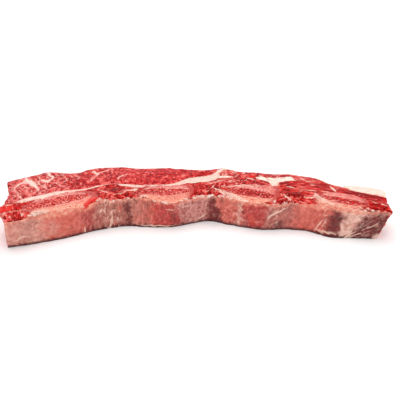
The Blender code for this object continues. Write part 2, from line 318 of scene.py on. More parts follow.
def bring_in(name, mesh):
    """The mesh as a smooth object in the scene."""
    mesh.shade_smooth()
    made = bpy.data.objects.new(name, mesh)
    bpy.context.scene.collection.objects.link(made)
    return made


def slab(name, plan, counts, paint, relief=None, lift=None, swell=None):
    """A closed piece over a patch of the plan: the points of a box grid's six faces, numbered once and
    carried to the strip by lay(). relief(s, t, u, v) raises its cut face, lift(s, t) its underside and
    swell(s, w) its side, in mm; paint(s, t, u, v, w) gives the fields that its material reads."""
    nu, nv, nw = counts
    skin = np.ones((nu + 1, nv + 1, nw + 1), bool)
    skin[1:-1, 1:-1, 1:-1] = False
    number = np.full(skin.shape, -1)
    number[skin] = np.arange(skin.sum())
    i, j, k = np.nonzero(skin)
    u, v, w = i / nu, j / nv, k / nw
    s, t = plan(u, v).T
    raised = relief(s, t, u, v) if relief else 0.0
    lifted = lift(s, t) if lift else 0.0
    points = lay(s, t, w, raised, lifted, swell(s, w) if swell else 0.0)
    faces = (number[:, :, -1], number[:, :, 0].T, number[:, 0], number[:, -1].T, number[0].T, number[-1])
    quads = np.vstack([quads_of(face) for face in faces])
    mesh = bpy.data.meshes.new(name)
    mesh.vertices.add(len(points))
    mesh.vertices.foreach_set("co", points.astype(np.float32).ravel())
    mesh.loops.add(quads.size)
    mesh.loops.foreach_set("vertex_index", quads.astype(np.int32).ravel())
    mesh.polygons.add(len(quads))
    mesh.polygons.foreach_set("loop_start", np.arange(0, quads.size, 4, dtype=np.int32))
    mesh.update(calc_edges=True)
    for field, value in paint(s, t, u, v, w).items():
        hold(mesh, field, value)
    return bring_in(name, mesh)


def settle(piece, node, finish):
    """The piece gets its finish, rides on the one body and stands for its solid."""
    piece.data.materials.append(finish)
    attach(piece, "root")
    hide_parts(node)


def ink(code):
    """An sRGB hex colour as linear red, green, blue and 1."""
    parts = np.array([int(code[k : k + 2], 16) for k in (1, 3, 5)]) / 255.0
    linear = np.where(parts <= 0.04045, parts / 12.92, ((parts + 0.055) / 1.055) ** 2.4)
    return (*linear.tolist(), 1.0)


def node(tree, kind, inputs=(), **settings):
    """Adds a shader node with its settings. inputs pairs a socket's name or place with a value, or with
    the socket that feeds it."""
    made = tree.nodes.new("ShaderNode" + kind)
    for key, value in settings.items():
        setattr(made, key, value)
    for key, value in dict(inputs).items():
        if isinstance(value, bpy.types.NodeSocket):
            tree.links.new(value, made.inputs[key])
        else:
            made.inputs[key].default_value = value
    return made


def graded(tree, value, stops):
    """Colours by value: a ramp through (place, hex colour) stops, or (place, number) stops for a mask.
    The value is first spread from the first and last place to the ramp's own 0 and 1."""
    first, last = stops[0][0], stops[-1][0]
    spread = node(tree, "MapRange", {"Value": value, "From Min": first, "From Max": last}).outputs[0]
    ramp = node(tree, "ValToRGB", {"Fac": spread})
    band = ramp.color_ramp
    while len(band.elements) < len(stops):
        band.elements.new(0.5)
    for element, (place, shade) in zip(band.elements, stops):
        element.position = (place - first) / (last - first)
        element.color = ink(shade) if isinstance(shade, str) else (shade, shade, shade, 1.0)
    return ramp.outputs["Color"]


def new_finish(name):
    """A material with its shader: the tree, the Principled shader and the object coordinates."""
    finish = bpy.data.materials.new(name)
    finish.use_nodes = True
    tree = finish.node_tree
    return finish, tree, tree.nodes["Principled BSDF"], node(tree, "TexCoord").outputs["Object"]


NOISE = ("Vector", "Scale", "Detail", "Roughness")  # the sockets that every noise below gives


def join(tree, shader, tint, relief, strength, depth, constants):
    """Joins the colour and the bumps, depth in mm, to the shader and sets its constants."""
    bump = node(tree, "Bump", {"Strength": strength, "Distance": depth * MM, "Height": relief})
    tree.links.new(tint, shader.inputs["Base Color"])
    tree.links.new(bump.outputs["Normal"], shader.inputs["Normal"])
    for socket, value in constants.items():
        shader.inputs[socket].default_value = value


def patches(s, t, places):
    """The sum of soft ellipses, each given by its middle, half sizes, tilt in degrees and amount:
    the amount times e to the minus square of the distance in half sizes."""
    amounts = np.zeros(len(s))
    for middle_s, middle_t, half_s, half_t, tilt, amount in places:
        c, k = math.cos(math.radians(tilt)), math.sin(math.radians(tilt))
        along = ((s - middle_s) * c + (t - middle_t) * k) / half_s
        across = ((t - middle_t) * c - (s - middle_s) * k) / half_t
        amounts += amount * np.exp(-(along**2) - across**2)
    return amounts


def raw_fat(name, core, edge, blush, netted=0.7):
    """Hard raw fat as sawn: waxy cream lobules 2 to 3 mm across in pink connective film, which shows to
    the share netted; pink where it is thin and where lean meets it. Waxy, so light goes a little way in
    and the shine is broad."""
    finish, tree, shader, place = new_finish(name)
    inside = node(tree, "Attribute", attribute_name="inside").outputs["Fac"]
    lobule = node(tree, "TexVoronoi", {"Vector": place, "Scale": 1000 / 2.6}, feature="SMOOTH_F1").outputs[0]
    cloud, crumb = (
        node(tree, "TexNoise", zip(NOISE, pattern)).outputs[0]
        for pattern in ((place, 1000 / 3.0, 5.0, 0.68), (place, 1000 / 0.8, 3.0, 0.6))
    )
    depth = node(tree, "Math", {0: cloud, 1: 2.7, 2: inside}, operation="MULTIPLY_ADD").outputs[0]
    tint = graded(tree, depth, ((1.04, "#b5302b"), (1.22, blush), (1.44, edge), (1.70, core), (1.86, core)))
    film = graded(tree, lobule, ((0.35, "#ffffff"), (0.75, "#f3d3c8")))
    laid = node(tree, "Mix", {0: netted, 6: tint, 7: film}, data_type="RGBA", blend_type="MULTIPLY")
    relief = node(tree, "Math", {0: lobule, 1: -0.9, 2: crumb}, operation="MULTIPLY_ADD").outputs[0]
    join(tree, shader, laid.outputs[2], relief, 0.5, 0.5, {
        "Roughness": 0.42, "IOR": 1.44, "Specular IOR Level": 0.25, "Subsurface Weight": 0.2,
        "Subsurface Radius": (1.0, 0.55, 0.4), "Subsurface Scale": 0.0015,
    })
    return finish


SEAM_BLUSH = (
    (-56, 33, 9, 3, 0, 0.45), (-32, 24.5, 15, 4, 0, 0.5), (-78, 26, 10, 2, 0, 0.25),
    (-117, 24, 6.5, 3, 0, 1), (12.5, 50, 2, 3, 0, -0.2), (-98, 25, 12, 2, 0, -0.2),
)


def fat_fields(s, t, u, v, w):
    """How deep inside clean fat a point lies: 0 at the lean on either side, more towards the middle,
    and less where the seam is stained."""
    half = route(SEAM)(u)[:, 2]
    clean = np.clip(half * (1.0 - np.abs(2.0 * v - 1.0)) / 2.2, 0.0, 0.6)
    return {"inside": clean - patches(s, t, SEAM_BLUSH)}


seam_inner, seam_outer = seam_edge(-1), seam_edge(+1)


def seam_relief(s, t, u, v):
    """The fat stands 0.35 mm proud, level at its edges."""
    return 0.35 * (1.0 - (2.0 * v - 1.0) ** 4)


fat_seam = slab("seam_of_fat", between(seam_inner, seam_outer), (430, 26, 24), fat_fields, relief=seam_relief)
settle(fat_seam, "fat_seam", raw_fat("raw_seam_fat", "#efd2c4", "#e9aa9c", "#c8504a"))

# The long muscle: the marbled outer muscle on the left, sawn across its fibres. Veins of fat run
# through it, thick and branched at the left end, and a thin rim of fat follows its outer side.
LONG_MUSCLE_VEINS = (
    ((-103.7, 66.7, 0.5), (-103.5, 62, 1.4), (-102.5, 57, 2.1), (-101, 50.5, 2), (-100, 46, 1.5),
     (-99.5, 38, 0.7), (-99.3, 31, 0.8)),
    ((-104.5, 60.5, 1), (-108.5, 55, 0.7), (-112.2, 49.4, 0.6), (-111.4, 43, 0.5), (-111.2, 36, 0.5),
     (-110.6, 27, 0.4)),
    ((-113.8, 54.5, 0.4), (-112.2, 49.4, 0.5)),
    ((-99.8, 36.5, 0.4), (-102.5, 34, 0.4), (-103.6, 31, 0.4)),
    ((-108, 69, 0.4), (-105.6, 65, 0.5), (-103.6, 61.5, 0.7)),
    ((-95.7, 57.7, 0.9), (-94, 55.4, 1.6), (-92.5, 53.8, 2.2), (-91, 56, 1.4), (-89.9, 59, 1.1),
     (-90.9, 65.4, 1), (-91.2, 71, 1.1)),
    ((-92.5, 53.8, 1.6), (-92.8, 49.4, 0.5)),
    ((-95.7, 57.7, 0.9), (-97.6, 54.5, 0.7), (-98, 48, 0.5)),
    ((-89.9, 49.4, 0.4), (-87.3, 44.2, 0.5), (-86, 40.4, 0.4)),
    ((-65.5, 62.2, 0.9), (-63.6, 56.4, 1), (-60, 59.6, 0.7), (-56, 63.1, 0.7)),
    ((-63.5, 56.2, 0.9), (-64.3, 50.6, 0.7), (-66.2, 46.8, 0.6), (-68.1, 41.7, 0.4)),
    ((-45.7, 48.7, 0.6), (-50.8, 43.6, 0.6), (-50.8, 39.1, 0.4)),
    ((-86, 71, 1.3), (-81, 65.8, 1.6), (-74.5, 64.6, 1.6), (-69.4, 67, 1.4), (-64.3, 68.6, 1.2),
     (-59.1, 69.6, 1.1), (-50, 68.4, 0.9), (-43, 65.8, 0.6)),
    ((-84.5, 63, 0.4), (-82, 52, 0.4), (-84.4, 45, 0.4)),
    ((-77.5, 60, 0.4), (-74, 54, 0.4), (-76, 47, 0.3)),
    ((-106.4, 52, 0.4), (-105, 44, 0.5), (-107, 37, 0.4)),
    ((-96.6, 44, 0.4), (-94, 38, 0.5), (-95, 32, 0.4)),
)


def vein_fat(s, t, veins):
    """0.5 on a vein's edge, and 1 or 0 from 2 mm inside or outside it."""
    plan = points_of(s, t)
    lines = [route(vein, 8)(np.linspace(0.0, 1.0, 14 * len(vein))) for vein in veins]
    line = np.vstack(lines)
    return np.clip(0.5 - nearest(plan, line[:, :2], line[:, 2])[0] / 4.0, 0.0, 1.0)


GRAIN_STEP = ((-130, 1), (38, 1), (66, 0.42), (130, 0.42))
GRAIN_REACH = ((-130, 0.5), (38, 0.5), (66, 0.95), (130, 0.95))


def along_the_fibres(s, t, w):
    """Where a point lies in the fibres' own grain, in mm: s paced by GRAIN_STEP, t drawn in to GRAIN_REACH
    round the middle, and the height drawn in to 0.35. So the bundles lie slanting outwards, twice as long
    as wide, and lie along the strip on the right."""
    stops = np.linspace(-140.0, 140.0, 281)
    paced = np.cumsum(read_at(stops, GRAIN_STEP))
    drawn_in = 30.0 + (t - 30.0) * read_at(s, GRAIN_REACH)
    return points_of(np.interp(s, stops, paced), drawn_in, 0.35 * w * THICKNESS)


def sawn_lean(name, deep, flesh, bright, fats, cell, wet):
    """Lean beef sawn across its fibres, which lie in bundles cell mm across, some dark with blood, some
    bright and some pink with film. Fat fills the veins that the field fat draws, and a broken net and
    flecks of marbling follow the field marbled, the pale flecks also serving as painted glints of the wet
    cut; rose makes the flesh paler or darker, even calms its grain, and fresh blood lies where the field
    fresh says. The cut is moist."""
    finish, tree, shader, _ = new_finish(name)
    rose, even, fresh, vein, marbled = (
        node(tree, "Attribute", attribute_name=field).outputs["Fac"]
        for field in ("rose", "even", "fresh", "fat", "marbled")
    )
    grown = node(tree, "Attribute", attribute_name="fibres").outputs["Vector"]
    swirl = node(tree, "TexNoise", {"Vector": grown, "Scale": 1 / 6.0, "Detail": 3.0}).outputs["Color"]
    centred = node(tree, "VectorMath", {0: swirl, 1: (0.5,) * 3}, operation="SUBTRACT").outputs[0]
    slight, strong = (
        node(tree, "VectorMath", {0: centred, 1: (reach,) * 3, 2: grown}, operation="MULTIPLY_ADD").outputs[0]
        for reach in (3.0, 9.0)
    )
    grain, coarse, cloud, rough, broken, fleck_and_glint = (
        node(tree, "TexNoise", zip(NOISE, pattern)).outputs[0]
        for pattern in (
            (slight, 1 / 2.1, 3.0, 0.64), (strong, 1 / 4.4, 2.0, 0.5), (grown, 1 / 11.0, 3.0, 0.5),
            (grown, 1 / 1.9, 4.0, 0.66), (grown, 1 / 3.4, 4.0, 0.7), (strong, 1 / 1.5, 1.5, 0.5),
        )
    )
    bundle = node(tree, "TexVoronoi", {"Vector": slight, "Scale": 1 / cell}, feature="F1")
    bundle_tone = node(tree, "SeparateColor", {0: bundle.outputs["Color"]}).outputs[0]
    net = node(tree, "TexVoronoi", {"Vector": strong, "Scale": 1 / 5.5}, feature="DISTANCE_TO_EDGE")

    swing = node(tree, "Math", {0: even, 1: -3.0, 2: 3.6}, operation="MULTIPLY_ADD").outputs[0]
    tone = node(tree, "Math", {0: grain, 1: 0.5}, operation="SUBTRACT").outputs[0]
    tone = node(tree, "Math", {0: tone, 1: swing, 2: -0.42}, operation="MULTIPLY_ADD").outputs[0]
    for value, amount in ((coarse, 1.3), (cloud, 0.35), (bundle_tone, 0.16), (rose, 0.4)):
        tone = node(tree, "Math", {0: value, 1: amount, 2: tone}, operation="MULTIPLY_ADD").outputs[0]
    tint = graded(tree, tone, ((0.12, deep), (0.42, flesh), (0.68, bright), (0.94, "#ec7870")))
    fresh = node(tree, "Math", {0: grain, 1: 0.8, 2: fresh}, operation="MULTIPLY_ADD").outputs[0]
    fresh = graded(tree, fresh, ((0.70, 0.0), (1.00, 0.95)))
    tint = node(tree, "Mix", {0: fresh, 6: tint, 7: ink("#dd1f17")}, data_type="RGBA").outputs[2]

    vein = node(tree, "Math", {0: rough, 1: 0.95, 2: vein}, operation="MULTIPLY_ADD").outputs[0]
    vein = node(tree, "Math", {0: vein, 1: 0.2}, operation="SUBTRACT").outputs[0]
    thread = node(tree, "Math", {0: net.outputs[0], 1: -1.5, 2: marbled}, operation="MULTIPLY_ADD").outputs[0]
    thread = node(tree, "Math", {0: broken, 1: 0.9, 2: thread}, operation="MULTIPLY_ADD").outputs[0]
    # pale flecks: marbling, and painted glints of the wet cut
    fleck_and_glint = node(tree, "Math", {0: fleck_and_glint, 1: 1.8, 2: -0.51}, operation="MULTIPLY_ADD").outputs[0]
    fleck_and_glint = node(tree, "Math", {0: marbled, 1: 0.5, 2: fleck_and_glint}, operation="MULTIPLY_ADD").outputs[0]
    fat = node(tree, "Math", {0: vein, 1: thread}, operation="MAXIMUM").outputs[0]
    fat = node(tree, "Math", {0: fat, 1: fleck_and_glint}, operation="MAXIMUM").outputs[0]
    share = graded(tree, fat, ((0.66, 0.0), (0.74, 0.5), (0.86, 1.0)))
    fat_tint = graded(tree, fat, tuple(zip((0.72, 0.86, 1.0), fats)))
    tint = node(tree, "Mix", {0: share, 6: tint, 7: fat_tint}, data_type="RGBA").outputs[2]

    relief = grain
    for value, amount in ((bundle.outputs["Distance"], -0.4), (share, 0.35)):
        relief = node(tree, "Math", {0: value, 1: amount, 2: relief}, operation="MULTIPLY_ADD").outputs[0]
    tree.links.new(graded(tree, grain, ((0.3, wet), (0.7, wet + 0.16))), shader.inputs["Roughness"])
    join(tree, shader, tint, relief, 0.8, 1.0, {
        "IOR": 1.38, "Specular IOR Level": 0.08, "Subsurface Weight": 0.05,
        "Subsurface Radius": (1.0, 0.3, 0.25), "Subsurface Scale": 0.001,
    })
    return finish


LONG_MUSCLE_TONES = (
    (-74.5, 47.4, 1.6, 3.6, 0, -1.6), (-55.6, 52.6, 1, 3.4, 0, -1.3), (-52.4, 49.6, 1, 2.6, 0, -1.3),
    (-72, 38, 8, 5, 0, -0.3), (-58, 50, 7, 6, 0, -0.3), (-20, 45, 14, 9, 0, -0.15),
    (-101, 60, 4, 6, 0, 0.3), (-44, 62, 8, 4, 0, 0.4), (-25, 58, 14, 3, 0, 0.35),
    (-108, 66, 6, 3, 0, 0.3), (-113, 36, 4, 10, 0, -0.2), (-64, 38, 5, 3, 0, 0.3),
    (-4, 47, 5, 6, 40, 0.15), (4, 50, 4, 3, 0, 0.2),
)


def outer_film(s, t, w):
    """The silvery film that the outer side wears below its cut edge, as broken fat: a little under the
    0.5 of a vein's edge, only on the rim."""
    on_rim = nearest(points_of(s, t), rim)[0] < 0.3
    return 0.45 * on_rim * ease((1.0 - w) * 9.0)


def long_muscle_fields(s, t, u, v, w):
    """Fat in the veins; marbling thick at the left end, fine in the middle and nearly none at the right."""
    speckle = 0.08 + 0.24 * ease((-64.0 - s) / 24.0) - 0.05 * ease((s + 52.0) / 20.0)
    fat = np.maximum(vein_fat(s, t, LONG_MUSCLE_VEINS + (SEAM,)), outer_film(s, t, w))
    return {
        "fat": fat, "marbled": speckle, "rose": patches(s, t, LONG_MUSCLE_TONES),
        "even": 0.25 * ease((s + 62.0) / 26.0) - 0.5 * ease((-80.0 - s) / 14.0),
        "fibres": along_the_fibres(s, t, w),
    }


back_left = route(BACK_LEFT)
long_west = route(np.vstack([seam_outer(0.0), LEFT_SIDE, back_left(0.0)]))
long_plan = patch(seam_outer, back_left, long_west, straight(seam_outer(1.0), back_left(1.0)))


def dome(height):
    """A relief that rises from nothing at the piece's own edges to height mm in its middle."""

    def relief(s, t, u, v):
        return height * (np.sin(math.pi * u) * np.sin(math.pi * v)) ** 0.5

    return relief


long_muscle = slab("marbled_muscle", long_plan, (300, 84, 30), long_muscle_fields, relief=dome(0.8))
marbled_finish = sawn_lean(
    "sawn_lean_marbled", "#92000a", "#bf1015", "#dc3c39", ("#de665f", "#efa49a", "#f9d0c4"), 1.6, 0.34
)
settle(long_muscle, "long_muscle", marbled_finish)

# The flank muscle: the outer muscle on the right of the seam, with an island of fat in it, and a
# pale skin where it lies on the ribs.
FLANK_VEINS = (
    ((38.2, 40.6, 1.6), (42, 39.6, 3.2), (47, 38.4, 4.2), (52, 39, 4), (56, 40.6, 3), (59.2, 42.6, 1.4)),
    ((39, 43.8, 0.8), (41.4, 41.2, 2)),
    ((58.6, 45.2, 0.7), (56.4, 42.6, 1.8)),
    ((60.6, 39.6, 0.8), (56.4, 39.4, 2)),
    ((47.6, 37, 3.6), (48.6, 33, 3.2), (49.4, 29.6, 2.6), (50.2, 26.6, 1.4)),
    ((49.6, 43.2, 0.7), (50.6, 46.4, 0.5)),
    ((45, 42.4, 0.8), (43.6, 46, 0.4)),
    ((31.6, 38.2, 0.3), (33.6, 37, 0.8), (35.8, 35.8, 0.4)),
    ((8, 40, 3.2), (12.5, 40.8, 3), (17.5, 41, 1.9), (21.5, 40.6, 0.9)),
    ((82.6, 39, 0.2), (84.6, 34.4, 0.7), (86.2, 30, 0.6), (87.7, 27, 0.2)),
    ((12, 29, 0.6), (14, 33, 0.5), (19, 35, 0.3)),
    ((74, 47.6, 0.3), (79, 45.4, 1), (84, 43, 1.6), (88.6, 42.4, 2), (91.4, 39.6, 1.4)),
    ((22, 51, 0.5), (25, 46, 0.5), (24, 41, 0.4)),
    ((63, 51, 0.4), (66, 44, 0.4), (71, 40, 0.3)),
    ((22, 23.4, 0.2), (32, 24.6, 0.7), (40, 25.8, 0.5)),
)


FLANK_FRESH = ((34, 41.5, 3.2, 2.6, -35, 1.1), (12.6, 46, 2.4, 4, 0, 0.5), (26, 31, 5, 2, 10, 0.4))
FLANK_TONES_AND_SHADOW = (
    (17, 49, 7, 4, 0, 0.55), (33, 51, 10, 2.5, 0, 0.35), (34, 41.5, 4, 2.6, 0, -0.2),
    # (56, 33.4) darkens a thin line below the fat island: a painted shadow
    (28, 33, 8, 5, 0, -0.35), (56, 33.4, 5, 1.3, 8, -1.3), (62, 48, 9, 5, -20, 0.15),
    (73, 36.2, 6, 1.6, 0, -0.7), (102, 30, 13, 4.4, -4, -0.9), (88, 39.5, 4, 4, 0, 0.4),
    (66, 31, 7, 3, -20, 0.35), (48, 49, 8, 2.4, 0, 0.3), (112, 22, 6, 3, 0, -0.5),
    (12, 46, 3, 3, 0, 0.35),
)


def flank_fields(s, t, u, v, w):
    """Fat in the island and the veins, and as a skin of uneven thickness on the ribs; more marbling near
    the seam. Its tones also hold a painted shadow below the fat island."""
    uneven = 0.3 + 0.8 * drift(points_of(s, t), 5.0, 71)
    skin = np.clip(0.5 - (t - cover(s) - uneven) / 4.0, 0.0, 1.0)
    speckle = 0.13 + 0.13 * ease((36.0 - s) / 14.0) - 0.05 * ease((s - 70.0) / 20.0)
    veins = np.minimum(vein_fat(s, t, FLANK_VEINS + (SEAM,)), 0.7)
    fat = np.maximum(np.maximum(veins, skin), outer_film(s, t, w))
    return {
        # rose also carries the painted shadow below the fat island
        "fat": fat, "marbled": speckle, "rose": patches(s, t, FLANK_TONES_AND_SHADOW),
        "fresh": patches(s, t, FLANK_FRESH) * w, "even": 0.5 * ease((s - 50.0) / 16.0),
        "fibres": along_the_fibres(s, t, w),
    }


back_right = route(BACK_RIGHT)
flank_start = float(seam_inner(SEAM_TURN + 0.004)[0])
flank_south = follow(cover, flank_start, RIB_COVER[-1][0], 0.0)
seam_turning = seam_inner(np.linspace(SEAM_TURN + 0.02, 0.995, 10))
flank_west = route(np.vstack([flank_south(0.0), seam_turning, back_right(0.0)]))
flank_east = route(np.vstack([flank_south(1.0), RIGHT_SIDE, back_right(1.0)]))
flank_plan = patch(flank_south, back_right, flank_west, flank_east)
flank_muscle = slab("flank_side_muscle", flank_plan, (250, 72, 30), flank_fields, relief=dome(0.7))
flank_finish = sawn_lean(
    "sawn_lean_flank", "#8c0008", "#bd0f13", "#dc423c", ("#d9655a", "#efb9aa", "#f9e6d7"), 1.9, 0.34
)
settle(flank_muscle, "flank_muscle", flank_finish)

# The fat cap: a slab of the outer fat, whiter than the seam, that stayed on at the right back corner.
# Its inner side is grown to the flank muscle.


def cap_inner(u):
    """The cap's inner edge: the last stretch of the muscle's outer side."""
    return back_right(CAP_START + (1.0 - CAP_START) * np.asarray(u, float))


def cap_fields(s, t, u, v, w):
    """How deep inside clean fat a point lies: 0 at the muscle, clean from a quarter of the way out."""
    return {"inside": np.clip(2.45 * v, 0.0, 0.6)}


fat_cap = slab("cap_of_fat", between(cap_inner, route(CAP_OUTER)), (70, 36, 30), cap_fields, relief=dome(0.5))
settle(fat_cap, "fat_cap", raw_fat("raw_cap_fat", "#f9e0d1", "#f3c8b5", "#da8274", 0.4))

# The rib bones, sawn through: a rim of hard bone, pressed flat against the membrane on one side and
# the seam on the other, round a core of red marrow in a sponge of bone, which lies a little deeper.
RIBS = ((-88.8, 22.6, -1.5), (-22.4, 19.4, 0), (35.6, 17.6, 2), (91.4, 16.4, 1))
MARROW = (
    ((-91, 14.2, 25, 8, 9, 1),),
    ((-27, 12.6, 18.5, 7.8, -2, 1), (-9, 13, 5, 4, 0, 0.35)),
    ((36, 11, 18.5, 8.2, -14, 1),),
    ((92.6, 15.6, 17, 5.4, -6, 1),),
)
MARROW_BLOOD = (
    (-94, 14.5, 12, 2.6, 9, 0.5), (-78, 15.5, 5, 1.6, 9, 0.6), (-31, 13.6, 9, 2, -2, 0.7),
    (34, 11.4, 8, 2, -14, 1.4), (42, 9, 5, 1.6, -10, 0.9), (92, 17.2, 11, 1.3, -4, 1.3),
    (-90, 14.5, 26, 7, 9, -0.4), (36, 11, 18, 7, -14, 0.3),
)
RIB_FAT = (
    ((17, 9, 2.4), (23, 4.6, 2.8), (29, 0, 2.4), (33, -3.4, 1.1)),
    ((75.5, 19, 1.4), (79, 12.6, 2.4), (84, 7.4, 2), (90, 5, 0.8)),
    ((-110, 2, 0.8), (-106, 1, 1.8), (-101, -0.2, 1.6), (-96.5, -0.8, 0.6)),
    ((-110, 19.5, 0.9), (-100, 22, 0.8), (-88, 24.6, 0.3)),
    ((21, 19.6, 0.5), (28, 21.8, 1), (37.5, 22.8, 0.7)),
    ((-41, 5.8, 0.4), (-37.5, 4.6, 0.9), (-34, 3, 0.3)),
    ((-20, -5, 0.5), (-14, -5.4, 0.4)),
)
SQUARENESS = 2.25
RIB_REACH = 1.06


def sawn_bone(name):
    """Sawn rib: the side towards the membrane is peach bone smeared by the saw, the other side a rosy
    film, both specked with red and cream, and the ends are red where muscle tore off. A pale ring parts
    it from the core of wet red marrow in pink struts, full of dark pores 0.5 to 1 mm across."""
    finish, tree, shader, place = new_finish(name)
    core, front, blood, vein, stain, fresh = (
        node(tree, "Attribute", attribute_name=field).outputs["Fac"]
        for field in ("core", "front", "blood", "fat", "stain", "fresh")
    )
    grown = node(tree, "Attribute", attribute_name="fibres").outputs["Vector"]
    sawn = node(tree, "Mapping", {"Vector": place, "Scale": (0.45, 1.0, 1.0)}).outputs[0]
    ragged, smear, fine = (
        node(tree, "TexNoise", zip(NOISE, pattern)).outputs[0]
        for pattern in (
            (place, 1000 / 2.6, 5.0, 0.68), (sawn, 1000 / 3.2, 4.0, 0.6), (grown, 1 / 1.1, 2.0, 0.65),
        )
    )
    sponge = node(tree, "TexVoronoi", {"Vector": grown, "Scale": 1 / 1.4}, feature="F1").outputs["Distance"]

    bone = node(tree, "Math", {0: smear, 1: 1.1, 2: front}, operation="MULTIPLY_ADD").outputs[0]
    bone = graded(tree, bone, (
        (0.50, "#d65a52"), (0.75, "#eb8e86"), (1.00, "#ea7a69"), (1.22, "#ec8a71"), (1.45, "#f0a78b"),
    ))
    edge = node(tree, "Math", {0: fine, 1: 0.6, 2: core}, operation="MULTIPLY_ADD").outputs[0]
    edge = node(tree, "Math", {0: ragged, 1: 1.1, 2: edge}, operation="MULTIPLY_ADD").outputs[0]
    red = node(tree, "Math", {0: ragged, 1: 1.2, 2: stain}, operation="MULTIPLY_ADD").outputs[0]
    for value, stops, colour in (
        (edge, ((0.50, 0.0), (0.86, 0.4), (1.08, 0.5), (1.26, 0.0)), "#f3a99c"),
        (fine, ((0.36, 0.8), (0.50, 0.0)), "#c83f35"),
        (fine, ((0.56, 0.0), (0.70, 0.7)), "#f9c8b4"),
        (red, ((0.80, 0.0), (1.15, 0.85)), "#b81a18"),
    ):
        share = graded(tree, value, stops)
        bone = node(tree, "Mix", {0: share, 6: bone, 7: ink(colour)}, data_type="RGBA").outputs[2]

    pore = node(tree, "Math", {0: fine, 1: 2.6, 2: -0.87}, operation="MULTIPLY_ADD").outputs[0]
    pore = node(tree, "Math", {0: sponge, 1: 0.45, 2: pore}, operation="MULTIPLY_ADD").outputs[0]
    pore = node(tree, "Math", {0: blood, 1: -0.18, 2: pore}, operation="MULTIPLY_ADD").outputs[0]
    marrow = graded(tree, pore, (
        (0.30, "#8a0000"), (0.50, "#bd0504"), (0.68, "#dd1f17"), (0.84, "#ec5f53"), (1.00, "#f8b4a8"),
    ))
    within = graded(tree, edge, ((1.12, 0.0), (1.28, 0.6), (1.42, 1.0)))
    tint = node(tree, "Mix", {0: within, 6: bone, 7: marrow}, data_type="RGBA").outputs[2]
    cream = node(tree, "Math", {0: ragged, 1: 0.55, 2: vein}, operation="MULTIPLY_ADD").outputs[0]
    cream = node(tree, "Math", {0: fine, 1: 1.1, 2: cream}, operation="MULTIPLY_ADD").outputs[0]
    fresh = node(tree, "Math", {0: ragged, 1: 0.6, 2: fresh}, operation="MULTIPLY_ADD").outputs[0]
    for value, stops, colour in (
        (cream, ((1.26, 0.0), (1.36, 0.6), (1.53, 1.0)), "#f1cbb8"),
        (fresh, ((0.74, 0.0), (0.86, 0.95)), "#e01d15"),
    ):
        share = graded(tree, value, stops)
        tint = node(tree, "Mix", {0: share, 6: tint, 7: ink(colour)}, data_type="RGBA").outputs[2]
    pits = node(tree, "Math", {0: pore, 1: within}, operation="MULTIPLY").outputs[0]
    relief = node(tree, "Math", {0: fine, 1: 0.3, 2: pits}, operation="MULTIPLY_ADD").outputs[0]
    join(tree, shader, tint, relief, 0.7, 1.0, {
        "Roughness": 0.36, "IOR": 1.45, "Specular IOR Level": 0.2, "Subsurface Weight": 0.1,
        "Subsurface Radius": (1.0, 0.35, 0.25), "Subsurface Scale": 0.0012,
    })
    return finish


FRESH_CUT = (
    (-71.4, 4, 8.4, 3, 58, 1.6), (-45.5, 12, 2.4, 3.4, 0, 0.45), (-63.5, 14.5, 3.6, 3.6, 0, 0.3),
    (12.5, 24.5, 3.6, 2, -30, 0.8), (-116.5, 4, 4, 3, 0, 0.4), (2, 21.6, 9, 2.6, 0, 0.35),
    (112, 13, 3, 3, 0, 0.3), (-123.5, 18.2, 10, 4.8, 0, 1.05),
)


def rib_plan(rib):
    """The unit square rounded to a disc, then to a superellipse, laid across the whole rib layer."""
    middle, half_width, lean = rib

    def plan(u, v):
        a, b = 2.0 * u - 1.0, 2.0 * v - 1.0
        x, y = a * np.sqrt(1.0 - b * b / 2.0), b * np.sqrt(1.0 - a * a / 2.0)
        far, way = np.hypot(x, y), np.arctan2(y, x)
        x, y = np.cos(way), np.sin(way)
        radius = far * (np.abs(x) ** SQUARENESS + np.abs(y) ** SQUARENESS) ** (-1.0 / SQUARENESS)
        h = np.clip(0.5 + 0.5 * RIB_REACH * radius * y, 0.0, 1.0)
        return in_rib_layer(middle + lean * (2.0 * h - 1.0) + half_width * radius * x, h)

    return plan


def pitted(s, t, spacing, seed):
    """Pores: 1 at seeded random points about spacing apart, falling to 0 at 0.45 of it."""
    draw = np.random.default_rng(seed)
    low, size = np.array([s.min(), t.min()]), np.array([np.ptp(s), np.ptp(t)])
    holes = low + size * draw.random((int(size.prod() / spacing**2), 2))
    return np.clip(1.0 - nearest(points_of(s, t), holes)[0] / (0.45 * spacing), 0.0, 1.0)


bone_finish = sawn_bone("sawn_rib_bone")
for number, (rib, marrow) in enumerate(zip(RIBS, MARROW), 1):

    def rib_relief(s, t, u, v, marrow=marrow):
        """The marrow lies 0.25 mm deeper and is pitted; the bone stands 0.3 mm proud but at the membrane."""
        depth = ease((patches(s, t, marrow) - 0.42) / 0.2)
        sunk = 0.25 + 0.6 * pitted(s, t, 1.5, 31) + 0.2 * drift(points_of(s, t), 2.0, 33)
        return 0.3 * ease((t - wall(s) - MEMBRANE) / 3.0) - depth * sunk

    def rib_fields(s, t, u, v, w, marrow=marrow):
        """The marrow's bloom, how near the membrane a point is, the blood in the marrow, fat at the rim,
        and the torn red ends."""
        front = 1.0 - (t - wall(s) - MEMBRANE) / (cover(s) - wall(s) - MEMBRANE)
        return {
            "core": 3.0 * patches(s, t, marrow) - 1.15, "front": 0.9 * front,
            "blood": patches(s, t, MARROW_BLOOD), "fat": np.minimum(vein_fat(s, t, RIB_FAT), 0.58),
            "stain": 1.15 * np.abs(2.0 * u - 1.0) ** 4 * (1.0 - front**3),
            "fresh": patches(s, t, FRESH_CUT), "fibres": along_the_fibres(s, t, w),
        }

    piece = slab(f"sawn_rib_{number}", rib_plan(rib), (120, 80, 10), rib_fields, relief=rib_relief)
    settle(piece, f"rib_{number}", bone_finish)

